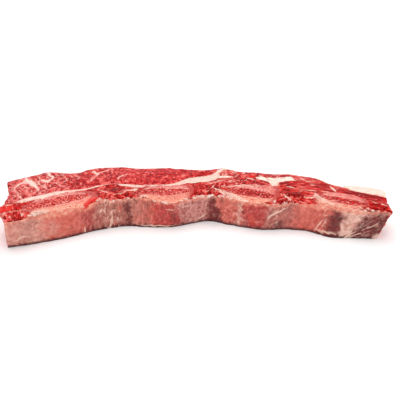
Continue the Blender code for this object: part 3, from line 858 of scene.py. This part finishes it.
# The rib muscles: what lies between the ribs, from the membrane to the seam. The saw tears it, so its
# face lies deeper than the bone and is ragged near the membrane, with shreds of fat.
RIB_MUSCLE_FAT = (
    ((-126, 10.6, 0.6), (-118, 11.6, 0.6), (-110, 13, 0.3)), ((-124, 23, 0.3), (-116, 21.6, 0.4)),
    ((-109.5, 1, 0.5), (-108.6, 0.4, 0.4)), ((-106, -0.6, 0.7), (-105.2, -1.2, 0.6)),
    ((-103, -2.4, 0.6), (-102, -2.6, 0.5)), ((-113, 2.6, 0.5), (-112.2, 3.4, 0.4)),
    ((-64, 25.4, 0.3), (-60.6, 20.4, 0.5), (-56.5, 16, 0.4), (-51, 14.6, 0.6), (-47.6, 17, 0.2)),
    ((-66.5, 11, 0.3), (-63, 7, 0.5), (-60, 4.6, 0.6)), ((-58, 2.4, 0.5), (-53, 5.4, 0.6)),
    ((-51.5, 2, 0.4), (-49, 6, 0.5)), ((-48.6, 19.5, 0.5), (-44.5, 19, 1.4), (-41, 21, 1.2)),
    ((4, 13.6, 0.3), (9, 13.4, 0.45), (14, 13.6, 0.5)),
    ((11, 17.8, 1), (14, 15.6, 2.2), (17.6, 10.8, 2.6), (20.6, 6.4, 2)),
    ((16, 6, 0.9), (20, 3.4, 1.8), (25, 0, 1.4), (31, -3.6, 0.8)), ((-1, 3, 0.5), (2, 4.2, 0.4)),
    ((8.6, 18.5, 0.4), (10.5, 24, 0.5)), ((56.3, 15.4, 0.35), (58.6, 11.6, 0.5), (61.4, 7, 0.45)),
    ((50, 18.6, 0.7), (49.9, 9, 0.9), (51.2, 0.6, 0.8)), ((52.4, -2.4, 0.8), (54.4, -2, 0.5)),
    ((57, 3.4, 0.3), (58, -2.6, 0.4)), ((63, 4.6, 0.4), (64, 0.4, 0.5)),
    ((69, 14.8, 0.7), (72, 13.8, 1.1), (75, 14.4, 0.9)), ((63.6, 10.6, 0.3), (67, 12, 0.4)),
    ((75, 21, 1), (76.6, 15, 1.7), (79.4, 9.6, 1.9), (83.6, 5.6, 1.4), (88, 3.6, 0.9)),
    ((113.2, 11.8, 0.4), (114.6, 8.6, 0.5)), ((116.8, 10, 0.4), (118.2, 8, 0.5)),
    ((106.6, 6.2, 0.5), (108.6, 7.6, 0.6)),
)
RIB_MUSCLE_TONES = (
    (-119, 1, 4, 5, 0, -0.9), (-111, -1, 3.5, 3, 0, -0.8), (-118, 18, 6, 5, 4, 0.5),
    (-54.5, 23, 6, 5, 0, -0.9), (-53.4, 21.4, 1.8, 3.4, 0, -0.8), (-65, 19, 1.6, 8, 0, -0.4),
    (-66, 8, 2.6, 3, 0, 0.5), (-45, 14, 5, 3, 0, 0.6), (-44.5, 7.6, 3.6, 2.6, 0, -0.3),
    (-54.6, 4.5, 1.2, 1.6, 0, -1.6), (-48.9, 4, 1.2, 1.6, 0, -1.6), (-61, 28.5, 2, 2, 0, 0.5),
    (3, 21.5, 10, 4.6, 0, -0.55), (2.6, 17, 5, 1.5, 0, -1.2), (-8.5, 21, 3.6, 3, 0, 0.3),
    (-1.6, 8, 1.8, 6, 0, -0.8), (8, 8, 6, 3, 0, -0.3), (17.5, 12.5, 4, 4, 0, 0.6),
    (60.5, 20, 8, 4, -10, -0.5), (59.5, 17, 5, 1.2, 0, -1.2), (46.5, 22, 3.4, 2.6, 0, 0.1),
    (57, 6.5, 4, 8, 0, -0.9), (73.4, 6.6, 3.6, 3.4, 0, -0.5), (66, 8.6, 3, 3, 0, 0.5),
    (70, 21, 4, 2, 0, 0.2), (111, 11.5, 2.6, 3.6, 0, -1.1), (118.6, 14, 2, 4, 0, -0.6),
    (109, 18, 7, 3, 0, -0.2),
)


def rib_side(rib, side):
    """The edge of a rib, s against h: its superellipse solved for s, to its right (+1) or left (-1)."""
    middle, half_width, lean = rib

    def at(h):
        half = half_width * (1.0 - (np.abs(2.0 * h - 1.0) / RIB_REACH) ** SQUARENESS) ** (1.0 / SQUARENESS)
        return middle + lean * (2.0 * h - 1.0) + side * half

    return at


def layer_patch(west, east, low=0.0, high=1.0):
    """A patch of the rib layer between two sides given as s against h, its rows closer near the ends."""

    def plan(u, v):
        h = low + (high - low) * (0.5 - 0.5 * np.cos(math.pi * v))
        return in_rib_layer(west(h) + (east(h) - west(h)) * u, h)

    return plan


def torn(s, t, u, v):
    """Below the bone by 0.2 mm where the muscle was cut clean, at the back, and by up to 1.5 mm where it
    tore, near the membrane, in shreds drawn out along t; level at the piece's own edges."""
    plan = points_of(s, t)
    shreds = points_of(s * 1.7, t * 0.6)
    inside = np.clip(16.0 * u * (1.0 - u) * v * (1.0 - v), 0.0, 1.0) ** 0.3
    right_end = ease((s - 98.0) / 8.0)
    wild = 0.25 + 0.75 * ease((17.0 + 8.0 * right_end - t) / 4.0)
    rugged = -0.5 + (0.7 + 0.6 * right_end) * drift(plan, 3.0, 37)
    rugged = rugged + 0.5 * drift(shreds, 1.5, 41) + 0.35 * drift(plan, 1.0, 43)
    return inside * (-0.2 + wild * rugged)


def rib_muscle_fields(s, t, u, v, w):
    """Fat in its shreds, loose marbling towards the membrane, and paler flesh at the ribs' rims."""
    pale = 0.5 * np.exp(-20.0 * np.minimum(u, 1.0 - u))
    return {
        "fat": np.minimum(vein_fat(s, t, RIB_MUSCLE_FAT), 0.62), "even": 0.25 * ease((t - 14.0) / 5.0),
        "marbled": 0.12 + 0.14 * ease((12.0 - t) / 8.0),
        "rose": 0.7 * patches(s, t, RIB_MUSCLE_TONES) + pale,
        "fresh": patches(s, t, FRESH_CUT) * (0.3 + 0.7 * w), "fibres": along_the_fibres(s, t, w),
    }


torn_lean = sawn_lean(
    "torn_rib_muscle", "#820003", "#bd0c0c", "#e03e34", ("#dc6e62", "#ecb0a0", "#f5d8ca"), 2.2, 0.28
)
sides = [(rib_side(left, +1), rib_side(right, -1)) for left, right in zip(RIBS[:-1], RIBS[1:])]
for number, (west, east) in enumerate(sides, 1):
    plan = layer_patch(west, east)
    piece = slab(f"muscle_between_{number}", plan, (150, 90, 10), rib_muscle_fields, relief=torn)
    settle(piece, f"rib_muscle_{number}", torn_lean)

first_side, last_side = rib_side(RIBS[0], -1), rib_side(RIBS[-1], +1)
scrap_plan = layer_patch(tongue_tip, first_side, 0.0, TONGUE_SPLIT)
scrap = slab("scrap_muscle", scrap_plan, (70, 44, 34), rib_muscle_fields, relief=torn)
settle(scrap, "rib_muscle_0", torn_lean)
tail = slab("tail_muscle", layer_patch(last_side, right_tip), (76, 70, 34), rib_muscle_fields, relief=torn)
settle(tail, "rib_muscle_4", torn_lean)

# The end tongue: a bright red tongue of muscle that hangs out over the left end. It is a thin flap
# where it juts out, with nothing under it.
TONGUE_LIFT = 16.2


def hollow_under(s, t):
    """The tongue's underside rises to TONGUE_LIFT over the 4 mm before the left corner."""
    return TONGUE_LIFT * ease((LEFT_CORNER + 4.2 - s) / 4.0)


tongue_plan = layer_patch(tongue_tip, first_side, TONGUE_SPLIT, 1.0)
tongue = slab(
    "tongue_of_muscle", tongue_plan, (90, 50, 28), rib_muscle_fields, relief=torn, lift=hollow_under
)
tongue_finish = sawn_lean(
    "sawn_lean_tongue", "#9c0608", "#cc1a18", "#e0463c", ("#e07468", "#eeb4a4", "#f5d8ca"), 1.8, 0.28
)
settle(tongue, "end_tongue", tongue_finish)

# The chest membrane: a tough wet skin grown onto the ribs and the muscle between them. It is nearly
# clear, so its colour is that of what lies under it: peach over bone, purple over muscle, cream over
# fat. It is drawn into creases where the muscle has shrunk. Its creases and streaks and the thin peach
# line along its top are painted pale, partly as a painted highlight; a narrow dark band over the muscle
# is partly painted shade, and its dark foot is partly painted contact shade.
SKIN_TINTS = {
    "beige": "#da9282", "grey olive": "#c58678", "salmon": "#d06557", "rose": "#c2564f", "olive": "#b97163",
    "purple": "#741c19", "red": "#bb3a34", "mauve": "#ca867e", "cream": "#e3b0a1", "grey": "#b66b61",
}
SKIN_ZONES = (  # place at the foot, place at the top, tint
    (-122, -122, "beige"), (-114, -112, "grey olive"), (-106, -100, "beige"), (-93, -92, "salmon"),
    (-80.5, -78.5, "salmon"), (-78, -76, "rose"), (-72.6, -70.5, "rose"), (-70.5, -68.5, "olive"),
    # the purple at -47.4 is a narrow dark band over the muscle, partly painted shade of a hollow
    (-51, -52, "olive"), (-47.4, -47.8, "purple"), (-44, -44.4, "olive"), (-33, -34, "salmon"),
    (-28, -28, "red"), (-15.5, -16, "red"), (-12.5, -13, "mauve"), (3.5, 4.5, "mauve"),
    (8, 8.5, "purple"), (13.5, 13, "purple"), (16.5, 16, "salmon"), (23, 27, "salmon"),
    (26.5, 29.5, "cream"), (31, 33, "red"), (42, 43, "red"), (45, 50, "grey"), (60.5, 61, "grey"),
    (63.5, 66, "salmon"), (82, 85.5, "salmon"), (86.5, 89.5, "purple"), (93, 94, "purple"),
    (96.5, 97, "cream"), (101, 107, "cream"), (104, 110, "purple"),
)
SKIN_LEAN = (
    (-124, 0.2), (-80, 0.3), (-60, 0.1), (-20, -0.1), (0, 0.1), (28, 0.5), (50, 1.2), (75, 0.6),
    (102, 1.1), (124, 1.4),
)
FIBROUS = (  # place, how strongly the fibres show
    (-124, 0.3), (-80, 0.3), (-76, 0.85), (-48, 0.9), (-42, 0.6), (-16, 0.7), (-10, 0.85), (10, 0.7),
    (24, 0.55), (60, 0.65), (65, 0.2), (81, 0.25), (87, 0.45), (104, 0.35), (110, 1), (124, 1),
)
CREASED = (  # place, half length, amount
    (-59, 9, 0.95), (-113, 9, 0.5), (-8, 9, 0.4), (28, 3, 0.5), (52, 8, 0.7), (84, 3, 0.8), (102, 6, 0.9),
    (-75, 3, 0.5), (-36, 6, 0.3), (113, 9, 0.5),
)
# Pale streaks: some are cream fat, others are painted highlights on wet creases.
STREAKS_AND_HIGHLIGHTS = (  # place, height, half length, half height, tilt, amount
    (-28, 1.5, 14, 0.6, 0, 1.1), (2, 4.5, 5, 0.6, 38, 0.9), (87, 3, 9, 1.2, 0, 0.8),
    (81, 7, 4.5, 0.5, 62, 0.9), (84, 8, 4, 0.4, 62, 0.7), (105, 13.5, 1.8, 1, 30, 1),
    (100, 3, 6, 0.5, 25, 0.8), (121, 1.5, 3, 3, 40, 0.9), (52, 13.5, 7, 0.5, 28, 0.9),
    (49, 11, 4, 0.4, 30, 0.8), (56, 15.6, 4, 0.4, 20, 0.7), (-77, 3, 0.6, 2.5, 0, 1),
    (-65.5, 13, 0.6, 2.4, -25, 0.9), (-63, 12, 0.5, 2, 20, 0.8), (-58.5, 12, 0.5, 2, -30, 0.8),
    (-56, 13, 1.4, 0.5, 0, 0.7), (-61, 8.5, 2, 0.4, 40, 0.7), (-19, 14.6, 4.5, 0.4, -4, 0.9),
    (-8, 15.3, 5, 0.4, 8, 0.8), (-113, 7, 6, 0.4, -20, 0.6), (-118, 10, 4, 0.4, 24, 0.5),
    (-105, 4.4, 5, 0.4, 12, 0.6), (97, 16.6, 6, 0.6, -6, 0.6), (-118, 6, 5, 0.5, 28, 0.8),
    (-109, 8.4, 4, 0.4, 18, 0.6), (-99, 12.4, 4, 0.35, 16, 0.5), (-113, 13.4, 4, 0.35, -14, 0.5),
    (-92, 9.6, 3, 0.3, 20, 0.4), (-110, 2.6, 3, 0.5, -6, 0.6), (41, 6, 2, 0.4, 60, 0.5),
    (112, 8, 4, 0.5, 36, 0.6), (116, 11, 3.4, 0.4, 38, 0.7), (108, 3.4, 3.6, 0.5, 20, 0.9),
    (105, 7, 3.6, 0.4, 34, 0.7), (119, 7.6, 3, 0.4, 36, 0.6), (113, 13, 3, 0.4, 36, 0.6),
    (-86, 7, 5, 0.35, -16, 0.5), (-103, 8, 4, 0.35, -24, 0.5), (-120, 13, 3, 0.4, 30, 0.5),
)
BLOODY = (  # place, height, half length, half height, tilt, amount
    (-98, 2.6, 2.4, 1.5, 0, 1), (-53, 14, 1.2, 2.2, 0, 0.7), (-56.5, 3, 1.7, 1.8, 0, 0.8),
    (-60.5, 15.5, 1.6, 1.2, 0, 0.4), (-75, 10, 2, 9, 30, 0.3), (72, 2.5, 6, 2.4, 0, 0.5),
    (86, 2, 2, 1.6, 0, 0.7), (-30, 12, 2, 4, 0, 0.3), (-100, 17, 5, 1.6, 0, 0.5),
    (-95, 14, 10, 2.6, 6, 0.36), (-84, 11, 5, 4, 20, 0.3), (-91, 5, 4, 2, 0, 0.3),
    (-101, 9, 6, 1.6, -20, 0.25), (-116, 15.5, 5, 1.6, 0, 0.3), (20, 16.5, 4, 1.4, 0, 0.35),
    (37, 8, 4, 5, 0, 0.4), (-86, 16.5, 6, 1.8, 0, 0.3),
)
# Bruises, and at -47.6 dark spots that are painted shade of the same narrow hollow.
BRUISES_AND_SHADE = (
    (-47.6, 12, 1, 2.6, 0, 0.8), (31.6, 12, 0.8, 1.6, 0, 0.9), (-17, 8, 2.6, 6, 0, 0.55),
    (-24, 10, 2, 3, 0, 0.3), (55, 4.5, 4.5, 4, 20, 0.6), (91, 11, 3, 5, 0, 0.5),
    (108, 8, 3.5, 6, -40, 0.65), (118, 6, 3, 5, 0, 0.6), (10.5, 9, 2.4, 9, 0, 0.5),
    (-72, 3.5, 1.6, 3, 0, 0.5), (-107, 10, 4, 2.6, -10, 0.22), (-96, 8, 3, 1.4, 10, 0.16),
)


def wet_membrane(name):
    """Chest membrane: a slippery clear skin, so a sharp wet shine lies over soft colours. Fine fibres
    run up and down it, blood and bruises show through, with peach bone along the top, and pale creases
    stand where it is drawn together; the creases' paleness and the thin peach line along the top are
    partly a painted highlight, and one narrow dark band over the muscle is partly painted shade. Its
    foot is painted dark, partly with blood and partly as painted contact shade where it meets the table."""
    finish, tree, shader, place = new_finish(name)
    zone, crease, bloody, bruised, peach, height, slant, fibrous, fresh = (
        node(tree, "Attribute", attribute_name=field).outputs["Fac"]
        for field in ("zone", "crease", "bloody", "bruised", "peach", "height", "slanted", "fibrous", "fresh")
    )
    drawn_out = node(tree, "Math", {0: height, 1: 6.0}, operation="MULTIPLY").outputs[0]
    grown = node(tree, "CombineXYZ", {0: slant, 1: drawn_out}).outputs[0]
    blot, patchy, fibre = (
        node(tree, "TexNoise", zip(NOISE, pattern)).outputs[0]
        for pattern in (
            (place, 1000 / 5.0, 5.0, 0.65), (place, 1000 / 2.2, 4.0, 0.65), (grown, 0.8, 3.0, 0.6),
        )
    )
    where = node(tree, "Math", {0: blot, 1: 0.14, 2: zone}, operation="MULTIPLY_ADD").outputs[0]
    dyes = [SKIN_TINTS[dye] for _, _, dye in SKIN_ZONES]
    tint = graded(tree, where, [(0.07 + k / (len(dyes) - 1), dye) for k, dye in enumerate(dyes)])
    shade = graded(tree, patchy, ((0.30, "#b98a83"), (0.48, "#f4e6e3"), (0.62, "#ffffff")))
    for share, colour, way in (
        (0.45, graded(tree, blot, ((0.34, 0.1), (0.66, 0.9))), "SOFT_LIGHT"),
        (0.5, graded(tree, patchy, ((0.32, 0.1), (0.68, 0.9))), "SOFT_LIGHT"),
        (fibrous, shade, "MULTIPLY"),
    ):
        tint = node(tree, "Mix", {0: share, 6: tint, 7: colour}, data_type="RGBA", blend_type=way).outputs[2]
    for stops, colour in ((((0.34, 0.55), (0.48, 0.0)), "#8a352f"), (((0.54, 0.0), (0.70, 0.6)), "#e3a596")):
        share = graded(tree, fibre, stops)
        share = node(tree, "Math", {0: share, 1: fibrous}, operation="MULTIPLY").outputs[0]
        tint = node(tree, "Mix", {0: share, 6: tint, 7: ink(colour)}, data_type="RGBA").outputs[2]
    smear = graded(tree, patchy, ((0.36, "#dc6c5b"), (0.50, "#e98f76"), (0.66, "#f0b39c")))
    for stain, ragged, amount, stops, colour in (
        (bloody, blot, 0.8, ((0.60, 0.0), (1.10, 0.9)), ink("#d14a38")),
        # bruises, and the dark spots at -47.6 that are painted shade
        (bruised, blot, 0.8, ((0.58, 0.0), (1.05, 0.85)), ink("#5e1413")),
        # peach along the top: bone over ribs 1 and 4, elsewhere partly a painted highlight of the edge
        (peach, blot, 1.8, ((1.10, 0.0), (1.60, 0.9)), smear),
        (fresh, patchy, 0.6, ((0.80, 0.0), (0.95, 0.95)), ink("#df231a")),
        # foot: painted dark, partly blood, partly painted contact shade where the skin meets the table
        (height, patchy, 0.22, ((0.15, 0.95), (0.27, 0.0)), ink("#4a0808")),
        # pale creases and streaks: partly pale fat, partly a painted highlight
        (crease, patchy, 0.7, ((0.66, 0.0), (1.05, 0.85)), ink("#ecc4b0")),
    ):
        share = node(tree, "Math", {0: ragged, 1: amount, 2: stain}, operation="MULTIPLY_ADD").outputs[0]
        share = graded(tree, share, stops)
        tint = node(tree, "Mix", {0: share, 6: tint, 7: colour}, data_type="RGBA").outputs[2]
    relief = node(tree, "Math", {0: patchy, 1: 1.1, 2: fibre}, operation="MULTIPLY_ADD").outputs[0]
    join(tree, shader, tint, relief, 0.8, 0.9, {
        "Roughness": 0.22, "IOR": 1.40, "Specular IOR Level": 0.5, "Subsurface Weight": 0.1,
        "Subsurface Radius": (1.0, 0.4, 0.3), "Subsurface Scale": 0.0012,
    })
    return finish


def skin_zone(s, w):
    """The share of the way through the list of tints: each tint's place runs straight from its foot to
    its top, and a point lies between two of them."""
    foot, top = (np.array([zone[k] for zone in SKIN_ZONES]) for k in (0, 1))
    places = foot + (top - foot) * w[:, None]
    before = np.clip((s[:, None] >= places).sum(axis=1) - 1, 0, len(foot) - 2)
    row = np.arange(len(s))
    start, stop = places[row, before], places[row, before + 1]
    return (before + np.clip((s - start) / (stop - start), 0.0, 1.0)) / (len(foot) - 1)


def slanted(s, z):
    """s drawn back along the slant of the skin's fibres, to where they cross a height of 9 mm."""
    return s - read_at(s, SKIN_LEAN) * (z - 9.0)


def creases(s, w):
    """How much the creases stand at a point: ridges where slanted drift crosses zero, as strong as the
    skin is drawn there, and the single streaks. The same amount sets their painted pale highlight."""
    z = w * THICKNESS
    ridge = 1.0 - np.clip(np.abs(drift(points_of(slanted(s, z), z / 2.6), 2.2, 59)) * 2.6, 0.0, 1.0)
    drawn = sum(much * np.exp(-(((s - at) / reach) ** 2)) for at, reach, much in CREASED)
    wavy = z + 0.5 * drift(points_of(s, z), 3.0, 67)
    return np.maximum(0.75 * ridge * drawn, patches(s, wavy, STREAKS_AND_HIGHLIGHTS))


def membrane_fields(s, t, u, v, w):
    """The tint, the slanting fibres, the creases and their painted pale highlight, the bloody places, the
    bruises and a band of painted shade, and peach along the top, deep over the first and last rib and a
    thin line elsewhere that is partly a painted highlight of the edge."""
    z = w * THICKNESS
    ruffled = s + 1.2 * drift(points_of(s, z), 6.0, 47) + 0.5 * drift(points_of(s, z), 1.8, 53)
    # away from the first and last rib the thin peach line is partly a painted highlight of the top edge
    broad = np.exp(-(((s + 90.0) / 17.0) ** 4)) + 0.8 * np.exp(-(((s - 92.0) / 16.0) ** 4))
    starts = 0.86 - 0.16 * broad
    return {
        "zone": skin_zone(ruffled, w), "slanted": slanted(s, z), "height": w,
        "crease": creases(s, w),
        "bloody": patches(ruffled, z, BLOODY), "bruised": patches(ruffled, z, BRUISES_AND_SHADE),
        "fresh": patches(s, z, ((-74.2, 18.8, 2.6, 1.1, 24.0, 1.0), (-55.5, 13.0, 0.8, 2.0, 0.0, 0.4))),
        "fibrous": read_at(s, FIBROUS),
        "peach": ease((w - starts) / (1.0 - starts)) * (0.55 + 0.45 * broad),
    }


def standing_creases(s, w):
    """The creases stand 0.4 mm proud, less near the foot and the top."""
    return 0.4 * creases(s, w) * np.clip(8.0 * w * (1.0 - w), 0.0, 1.0)


wall_outer, wall_inner = (follow(wall, LEFT_CORNER, RIGHT_END, depth) for depth in (0.0, MEMBRANE))
membrane_plan = between(wall_outer, wall_inner)
membrane = slab("chest_skin", membrane_plan, (600, 3, 46), membrane_fields, swell=standing_creases)
settle(membrane, "membrane", wet_membrane("wet_chest_membrane"))

# The saw crumbs: soft grains of fat and bone that the saw pushed to the front edge of the cut, where
# they cling to the wet face.
CRUMBS = (  # from, to, how many, largest in mm
    (-111, -100, 14, 3.2), (-78, -75, 4, 2), (-66, -46, 26, 2.6), (-46, -20, 26, 2), (-12, 2, 13, 2.6),
    (2, 20, 16, 3), (20, 46, 8, 1.2), (47, 66, 16, 1.8), (70, 100, 8, 1.2), (103, 112, 12, 2.2),
)
CRUMB_FORM = (1.3, 1.1, 0.5)
AROUND = 8
draw = np.random.default_rng(61)
crumb_run = np.repeat(np.arange(len(CRUMBS)), [run[2] for run in CRUMBS])
grains = len(crumb_run)
first, last, _, largest = np.array(CRUMBS).T[:, crumb_run]
crumb_s = draw.uniform(first, last)
crumb_t = wall(crumb_s) + draw.uniform(0.3, 2.6, grains)
crumb_size = 0.5 * largest * draw.uniform(0.3, 1.0, grains) ** 1.3
crumb_place = lay(crumb_s, crumb_t, np.ones(grains), -0.1, 0.0, 0.0)
spin, tip = np.meshgrid(np.arange(AROUND) * 2.0 * math.pi / AROUND, math.pi * np.array([0.2, 0.4, 0.6, 0.8]))
ball = points_of(np.sin(tip) * np.cos(spin), np.sin(tip) * np.sin(spin), np.cos(tip)).reshape(-1, 3)
ball = np.vstack([[0.0, 0.0, 1.0], ball, [0.0, 0.0, -1.0]])
lumps = crumb_size[:, None, None] * ball * draw.uniform(0.6, 1.4, (grains, len(ball), 1))
lumps = lumps * draw.uniform(0.7, 1.4, (grains, 1, 3)) * CRUMB_FORM
crumb_points = crumb_place[:, None, :] + MM * lumps


def closed_round(grid):
    """A grid of point numbers with its first column again at the end, so that its rows are rings."""
    return np.hstack([grid, grid[:, :1]])


rings = closed_round(1 + np.arange(spin.size).reshape(spin.shape))
above, below = np.zeros(AROUND, int), np.full(AROUND, len(ball) - 1)
ball_tips = np.vstack([
    points_of(above, rings[0, :-1], rings[0, 1:]), points_of(below, rings[-1, 1:], rings[-1, :-1]),
])
offset = len(ball) * np.arange(grains)[:, None, None]
crumb_faces = []
for group in (quads_of(rings), ball_tips):
    crumb_faces += (offset + group).reshape(-1, group.shape[1]).tolist()
crumb_mesh = bpy.data.meshes.new("saw_crumbs")
crumb_mesh.from_pydata(crumb_points.reshape(-1, 3).tolist(), [], crumb_faces)
hold(crumb_mesh, "inside", np.repeat(draw.uniform(-0.12, 0.3, grains), len(ball)))
crumb_mesh.materials.append(raw_fat("saw_crumb_fat", "#f4d8ca", "#efbcab", "#e08a7c"))
crumbs = bring_in("saw_crumbs", crumb_mesh)
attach(crumbs, "root")

# The table and the light: a round sheet of white card that turns up far away, so that no edge of it
# shows, under a sky that is dim towards the sides. A soft lamp behind draws the shadow forward and a
# broad one in front fills it; two narrow ones are seen only in the wet shine.
TABLE_SIDES = 96
TABLE_RINGS = (0.6, 1.6, 2.4, 3.2, 4.0, 5.0)  # metres from the middle; flat as far as the second
TURN_UP = 0.12

turn, far = np.meshgrid(np.linspace(0.0, 2.0 * math.pi, TABLE_SIDES, endpoint=False), TABLE_RINGS)
height = TURN_UP * np.clip(far - TABLE_RINGS[1], 0.0, None) ** 2
table_points = points_of(far * np.cos(turn), far * np.sin(turn), height).reshape(-1, 3)
corners = np.arange(turn.size).reshape(turn.shape)
table_faces = quads_of(closed_round(corners)).tolist() + [corners[0].tolist()]
table_mesh = bpy.data.meshes.new("table")
table_mesh.from_pydata(table_points.tolist(), [], table_faces)
table = bring_in("table", table_mesh)
card, card_tree, card_shader, card_place = new_finish("white_card")
flecks = node(card_tree, "TexNoise", {"Vector": card_place, "Scale": 40.0}).outputs[0]
card_tint = graded(card_tree, flecks, ((0.0, "#fbfbfb"), (1.0, "#ffffff")))
card_tree.links.new(card_tint, card_shader.inputs["Base Color"])
card_shader.inputs["Roughness"].default_value = 0.9
card_shader.inputs["Specular IOR Level"].default_value = 0.1
table_mesh.materials.append(card)

scene = bpy.context.scene
scene.world = bpy.data.worlds.new("studio")
scene.world.use_nodes = True
sky_tree = scene.world.node_tree
upward = node(sky_tree, "SeparateXYZ", {0: node(sky_tree, "TexCoord").outputs["Generated"]}).outputs[2]
glow = graded(sky_tree, upward, ((0.0, 0.13), (0.45, 0.15), (0.80, 1.0)))
sky_tree.links.new(glow, sky_tree.nodes["Background"].inputs["Color"])
sky_tree.nodes["Background"].inputs["Strength"].default_value = 1.0

LAMPS = (  # name, strength, spread, tip and turn in degrees, whether it lights more than the shine
    ("key_lamp", 1.0, 60.0, -25.0, 0.0, True),
    ("front_lamp", 1.13, 90.0, 55.0, -8.0, True),
    ("rim_lamp", 0.3, 8.0, -50.0, 20.0, False),
    ("glint_lamp", 0.8, 6.0, 48.0, -22.0, False),
)
for lamp_name, strength, spread, tip_down, turn_to, diffuse in LAMPS:
    lamp = bpy.data.lights.new(lamp_name, "SUN")
    lamp.energy = strength
    lamp.angle = math.radians(spread)
    lamp_object = bpy.data.objects.new(lamp_name, lamp)
    lamp_object.rotation_euler = (math.radians(tip_down), 0.0, math.radians(turn_to))
    lamp_object.visible_diffuse = diffuse
    scene.collection.objects.link(lamp_object)
scene.view_settings.view_transform = "Standard"

# The camera stands close in front, a hand's width above the table and tipped down, as in the
# photograph.
CAMERA_PLACE = (0.0067, -0.2764, 0.135)
CAMERA_PITCH = 24.0
FOCAL_LENGTH, FRAME_WIDTH = 427.0, 400.0  # in pixels of the photograph
SENSOR_WIDTH = 36.0
camera = bpy.data.cameras.new("camera")
camera.sensor_width = SENSOR_WIDTH
camera.lens = SENSOR_WIDTH * FOCAL_LENGTH / FRAME_WIDTH
camera.clip_start = 0.01
camera_object = bpy.data.objects.new("camera", camera)
camera_object.location = CAMERA_PLACE
camera_object.rotation_euler = (math.radians(90.0 - CAMERA_PITCH), 0.0, 0.0)
scene.collection.objects.link(camera_object)
scene.camera = camera_object
